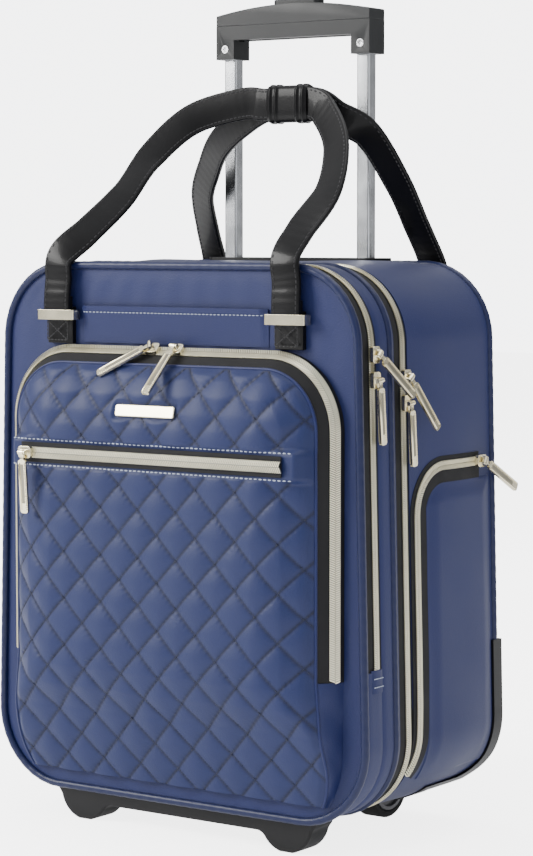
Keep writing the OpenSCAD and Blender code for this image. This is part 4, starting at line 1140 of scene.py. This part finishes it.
def wrap_piece(node, body, sign):
    """Half of the leather sleeve that joins the two straps, with two raised ridges at each end."""
    lo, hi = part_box(node)
    z, half_z = (lo.z + hi.z) / 2, (hi.z - lo.z) / 2
    inner = lo.y if sign > 0 else hi.y
    thick = hi.y - lo.y
    x = np.linspace(lo.x, hi.x, 61)
    t = (x - lo.x) / (hi.x - lo.x)
    ridge = sum(np.exp(-((t - c) / 0.032) ** 2) for c in (0.09, 0.24, 0.76, 0.91)) * 1.0 * MM
    end = np.minimum(1, np.minimum(t, 1 - t) / 0.03) ** 0.5
    a = np.radians(np.linspace(-90, 90, 25))
    reach_y = (thick - 1.2 * MM) * (0.93 + 0.07 * end) + ridge
    reach_z = (half_z - 1.2 * MM) * (0.96 + 0.04 * end) + ridge
    power = 0.55
    outer = np.stack([np.broadcast_to(x[:, None], (61, 25)),
                      inner + sign * reach_y[:, None] * (np.abs(np.cos(a)) ** power)[None],
                      z + reach_z[:, None] * (np.sign(np.sin(a)) * np.abs(np.sin(a)) ** power)[None]], -1)
    inside = np.stack([np.broadcast_to(x[:, None], (61, 25)),
                       inner + sign * (thick - 4 * MM) * (np.abs(np.cos(a)) ** power)[None] + 0 * x[:, None],
                       z + (half_z - 3 * MM) * (np.sign(np.sin(a)) * np.abs(np.sin(a)) ** power)[None]
                       + 0 * x[:, None]], -1)
    grid = np.concatenate([outer, inside[:, ::-1]], 1)
    piece = made(node + "_sleeve", grid.reshape(-1, 3), tube(grid), [LEATHER])
    place(piece, body, node, slot="leather_black")


wrap_piece("front_wrap", "front_handle", -1)
wrap_piece("rear_wrap", "rear_handle", 1)

# ---------- hard parts ----------

for node, body, width, material, slot in (
        ("trolley_bezel", "carcass", 1.2, BLACK_PLASTIC, "plastic_black"),
        ("outer_tubes", "carcass", 0.5, STEEL_DARK, "steel_dark"),
        ("middle_tubes", "trolley_middle", 0.5, STEEL, "tube_steel"),
        ("inner_tubes", "trolley_inner", 0.8, STEEL, "tube_steel"),
        ("grip_base", "trolley_inner", 2.2, GREY_PLASTIC, "plastic_grey"),
        ("grip_cap", "trolley_inner", 2.2, GREY_PLASTIC, "plastic_grey"),
        ("grip_screws", "trolley_inner", 0.15, SCREW, "screw_steel"),
        ("release_button", "button", 1.2, GREY_PLASTIC, "plastic_grey"),
        ("push_rods", "rods", 0.2, STEEL_DARK, "steel_dark"),
        ("wheel_housings", "carcass", 0.9, BLACK_PLASTIC, "plastic_black"),
        ("wheel_axles", "carcass", 0.2, STEEL, "tube_steel"),
        ("hub_left", "wheel_left", 0.5, HUB_PLASTIC, "hub_grey"),
        ("hub_right", "wheel_right", 0.5, HUB_PLASTIC, "hub_grey"),
        ("foot_bar", "main_lid", 1.6, BLACK_PLASTIC, "plastic_black"),
        ("lid_divider", "main_lid", 0.3, LINING, "lining"),
        ("laptop_sleeve", "main_lid", 2.0, LINING, "lining"),
        ("badge", "pocket_flap", 0.7, GOLD, "gold_metal")):
    solid = softened(node, body, width * MM, material, slot=slot)
for node in ("tyre_left", "tyre_right"):
    mesh = frame["nodes"][node]
    mesh.data.materials.clear()
    mesh.data.materials.append(TREAD)

# ---------- sliders and pulls ----------

for node, body in (
        ("organiser_slider", "organiser_slider"), ("pocket_slider_left", "pocket_slider_left"),
        ("pocket_slider_right", "pocket_slider_right"), ("laptop_slider_lower", "laptop_slider_lower"),
        ("main_slider_lower", "main_slider_lower"), ("laptop_slider_upper", "main_lid"),
        ("rear_fixed_sliders", "carcass")):
    softened(node, body, 0.8 * MM, GOLD, slot="gold_metal")
PULLS = ("organiser_pull", "pocket_pull_left", "pocket_pull_right", "laptop_pull_upper",
         "laptop_pull_lower", "main_pull_upper", "main_pull_lower", "side_pocket_pull")
for node in PULLS:
    softened(node, node, 0.5 * MM, GOLD, slot="gold_metal")


def bead_grains():
    """A low many-sided bead, round above and flat below."""
    a = np.radians(np.arange(0, 360, 60))
    ring0 = np.stack([0.75 * np.cos(a), 0.75 * np.sin(a), 0 * a], -1)
    ring1 = np.stack([0.55 * np.cos(a), 0.55 * np.sin(a), 0 * a + 0.5], -1)
    points = np.concatenate([ring0, ring1, [[0, 0, 0.75]]]) * MM
    i = np.arange(6)
    j = (i + 1) % 6
    return points, [np.stack([i, j, j + 6, i + 6], -1), np.stack([i + 6, j + 6, 0 * i + 12], -1),
                    np.array([i[::-1]])]


def pull_dressing(node):
    """A smooth raised rail, a row of beads and a dark recess between them, on both faces of a pull."""
    joint = joints[node + "_swing"]
    pin, axis = np.array(joint["pos_m"]), unit(np.array(joint["axis"]))
    mesh = frame["nodes"][node].data
    co = np.empty(len(mesh.vertices) * 3, np.float32)
    mesh.vertices.foreach_get("co", co)
    co = co.reshape(-1, 3)
    along = co.mean(0) - pin
    along = unit(along - axis * np.dot(along, axis))
    up = np.cross(axis, along)
    reach = (co - pin) @ along
    level = (co - pin) @ up
    flat = level[reach > 8 * MM]
    faces_at = ((flat.min(), -1), (flat.max(), 1))
    far = reach.max()
    grain, grain_faces = bead_grains()
    box = ring_profile(0.75 * MM, 0.55 * MM, 0.4 * MM, 2)
    rails, beads, recess = [], [], []
    for height, sign in faces_at:
        base = pin + up * height
        t = np.array([8 * MM, 8.6 * MM, far - 2.6 * MM, far - 2 * MM])
        size = np.array([0.5, 1, 1, 0.5])
        grid = (base + along * t[:, None, None] + axis * (2.55 * MM + box[None, :, 0:1] * size[:, None, None])
                + sign * up * (box[None, :, 1:2] * size[:, None, None]))
        rails.append((grid, tube(grid)))
        at = np.arange(8.4 * MM, far - 2 * MM, 1.65 * MM)
        origin = base + along * at[:, None] - axis * 2.5 * MM
        one = np.ones((len(at), 1))
        beads.append(copies(grain, grain_faces, origin, one * along, one * axis * sign,
                            one * up * sign))
        t = np.array([9 * MM, far - 7.5 * MM])
        plate_ring = ring_profile(1.45 * MM, 0.12 * MM, 0.1 * MM, 1)
        grid = (base + along * t[:, None, None] + axis * plate_ring[None, :, 0:1]
                + sign * up * plate_ring[None, :, 1:2])
        recess.append((grid, tube(grid)))
    points, faces = gather(rails + beads)
    place(made(node + "_rail", points, faces, [GOLD]), node, slot="gold_metal")
    points, faces = gather(recess)
    place(made(node + "_recess", points, faces, [GOLD_DARK]), node, slot="gold_metal")


for node in PULLS:
    pull_dressing(node)


def zip_end_tabs():
    """Folded cloth tabs over the lower ends of the laptop zip, each with two rows of stitches."""
    for name, s0, s1 in (("zip_tab_right", zip_right - 15 * MM, zip_right + 1.5 * MM),
                         ("zip_tab_left", zip_left - 1.5 * MM, zip_left + 15 * MM)):
        d = np.linspace(PANEL_ZIP - 7 * MM, PANEL_ZIP + 7 * MM, 9)
        o = np.array([0.2, 1.1, 1.5, 1.7, 1.7, 1.7, 1.5, 1.1, 0.2]) * MM
        strip(name, case, s0, s1, d, o, NYLON, "main_lid", slot="nylon_blue", thick=1.2 * MM, step=1.5 * MM)
        rows = []
        for off in (4.5 * MM, 10.5 * MM):
            s = np.full(5, s0 + off)
            depth = np.linspace(PANEL_ZIP - 5 * MM, PANEL_ZIP + 5 * MM, 5)
            rows.append(np.stack([case.points(s[i:i + 1], depth[i:i + 1], np.array([1.8 * MM]))[0, 0]
                                  for i in range(5)]))
        _, way = case.frame(np.array([s0]))
        sewn(name + "_stitches", np.concatenate(rows), [0, 1, 0], [way[0, 0], 0, way[0, 1]], "main_lid",
             THREAD_PALE, 0.9)


zip_end_tabs()

# ---------- floor, light, camera ----------

def studio():
    """A pale glowing floor, a key light from the left, a weak fill, a light above and a soft sky."""
    bpy.ops.mesh.primitive_plane_add(size=14)
    floor = bpy.context.object
    floor.name = "floor"
    floor.data.materials.append(plain("paper", (0.95, 0.95, 0.955), 0.8))
    glow = floor.data.materials[0].node_tree.nodes["Principled BSDF"]
    glow.inputs["Emission Color"].default_value = (1, 1, 1, 1)
    sheet_tree = floor.data.materials[0].node_tree
    seen = sheet_tree.nodes.new("ShaderNodeLightPath")
    level = sheet_tree.nodes.new("ShaderNodeMapRange")
    level.inputs[3].default_value = 0.4
    level.inputs[4].default_value = 4.0
    sheet_tree.links.new(seen.outputs["Is Camera Ray"], level.inputs[0])
    sheet_tree.links.new(level.outputs[0], glow.inputs["Emission Strength"])
    for name, spot, size, power, colour in (
            ("key", (-1.7, -1.7, 1.5), 1.3, 95, (1, 0.99, 0.97)),
            ("fill", (2.1, -1.4, 1.1), 1.8, 8, (0.94, 0.97, 1)),
            ("top", (0.2, 0.2, 2.4), 1.8, 30, (1, 1, 1))):
        lamp = bpy.data.lights.new(name, "AREA")
        lamp.size = size
        lamp.energy = power
        lamp.color = colour
        lit = bpy.data.objects.new(name, lamp)
        lit.location = spot
        aim = Vector((0, 0, 0.28)) - Vector(spot)
        lit.rotation_euler = aim.to_track_quat("-Z", "Y").to_euler()
        bpy.context.scene.collection.objects.link(lit)
    world = bpy.data.worlds.new("studio")
    bpy.context.scene.world = world
    world.use_nodes = True
    background = world.node_tree.nodes["Background"]
    background.inputs["Color"].default_value = (0.98, 0.985, 1.0, 1)
    paths = world.node_tree.nodes.new("ShaderNodeLightPath")
    spread = world.node_tree.nodes.new("ShaderNodeMapRange")
    spread.inputs[4].default_value = 5.5
    way = world.node_tree.nodes.new("ShaderNodeTexCoord")
    split = world.node_tree.nodes.new("ShaderNodeSeparateXYZ")
    sky = world.node_tree.nodes.new("ShaderNodeMapRange")
    sky.inputs[1].default_value = 0.0
    sky.inputs[2].default_value = 0.8
    sky.inputs[3].default_value = 0.22
    sky.inputs[4].default_value = 1.25
    world.node_tree.links.new(way.outputs["Generated"], split.inputs[0])
    world.node_tree.links.new(split.outputs["Z"], sky.inputs[0])
    world.node_tree.links.new(sky.outputs[0], spread.inputs[3])
    world.node_tree.links.new(paths.outputs["Is Camera Ray"], spread.inputs[0])
    world.node_tree.links.new(spread.outputs[0], background.inputs["Strength"])
    camera_data = bpy.data.cameras.new("camera")
    camera_data.lens = 109.75
    camera = bpy.data.objects.new("camera", camera_data)
    camera.location = (1.16267, -1.59164, 0.44599)
    camera.rotation_euler = (math.radians(90 - 4.24), 0, math.radians(35.48))
    bpy.context.scene.collection.objects.link(camera)
    bpy.context.scene.camera = camera


studio()
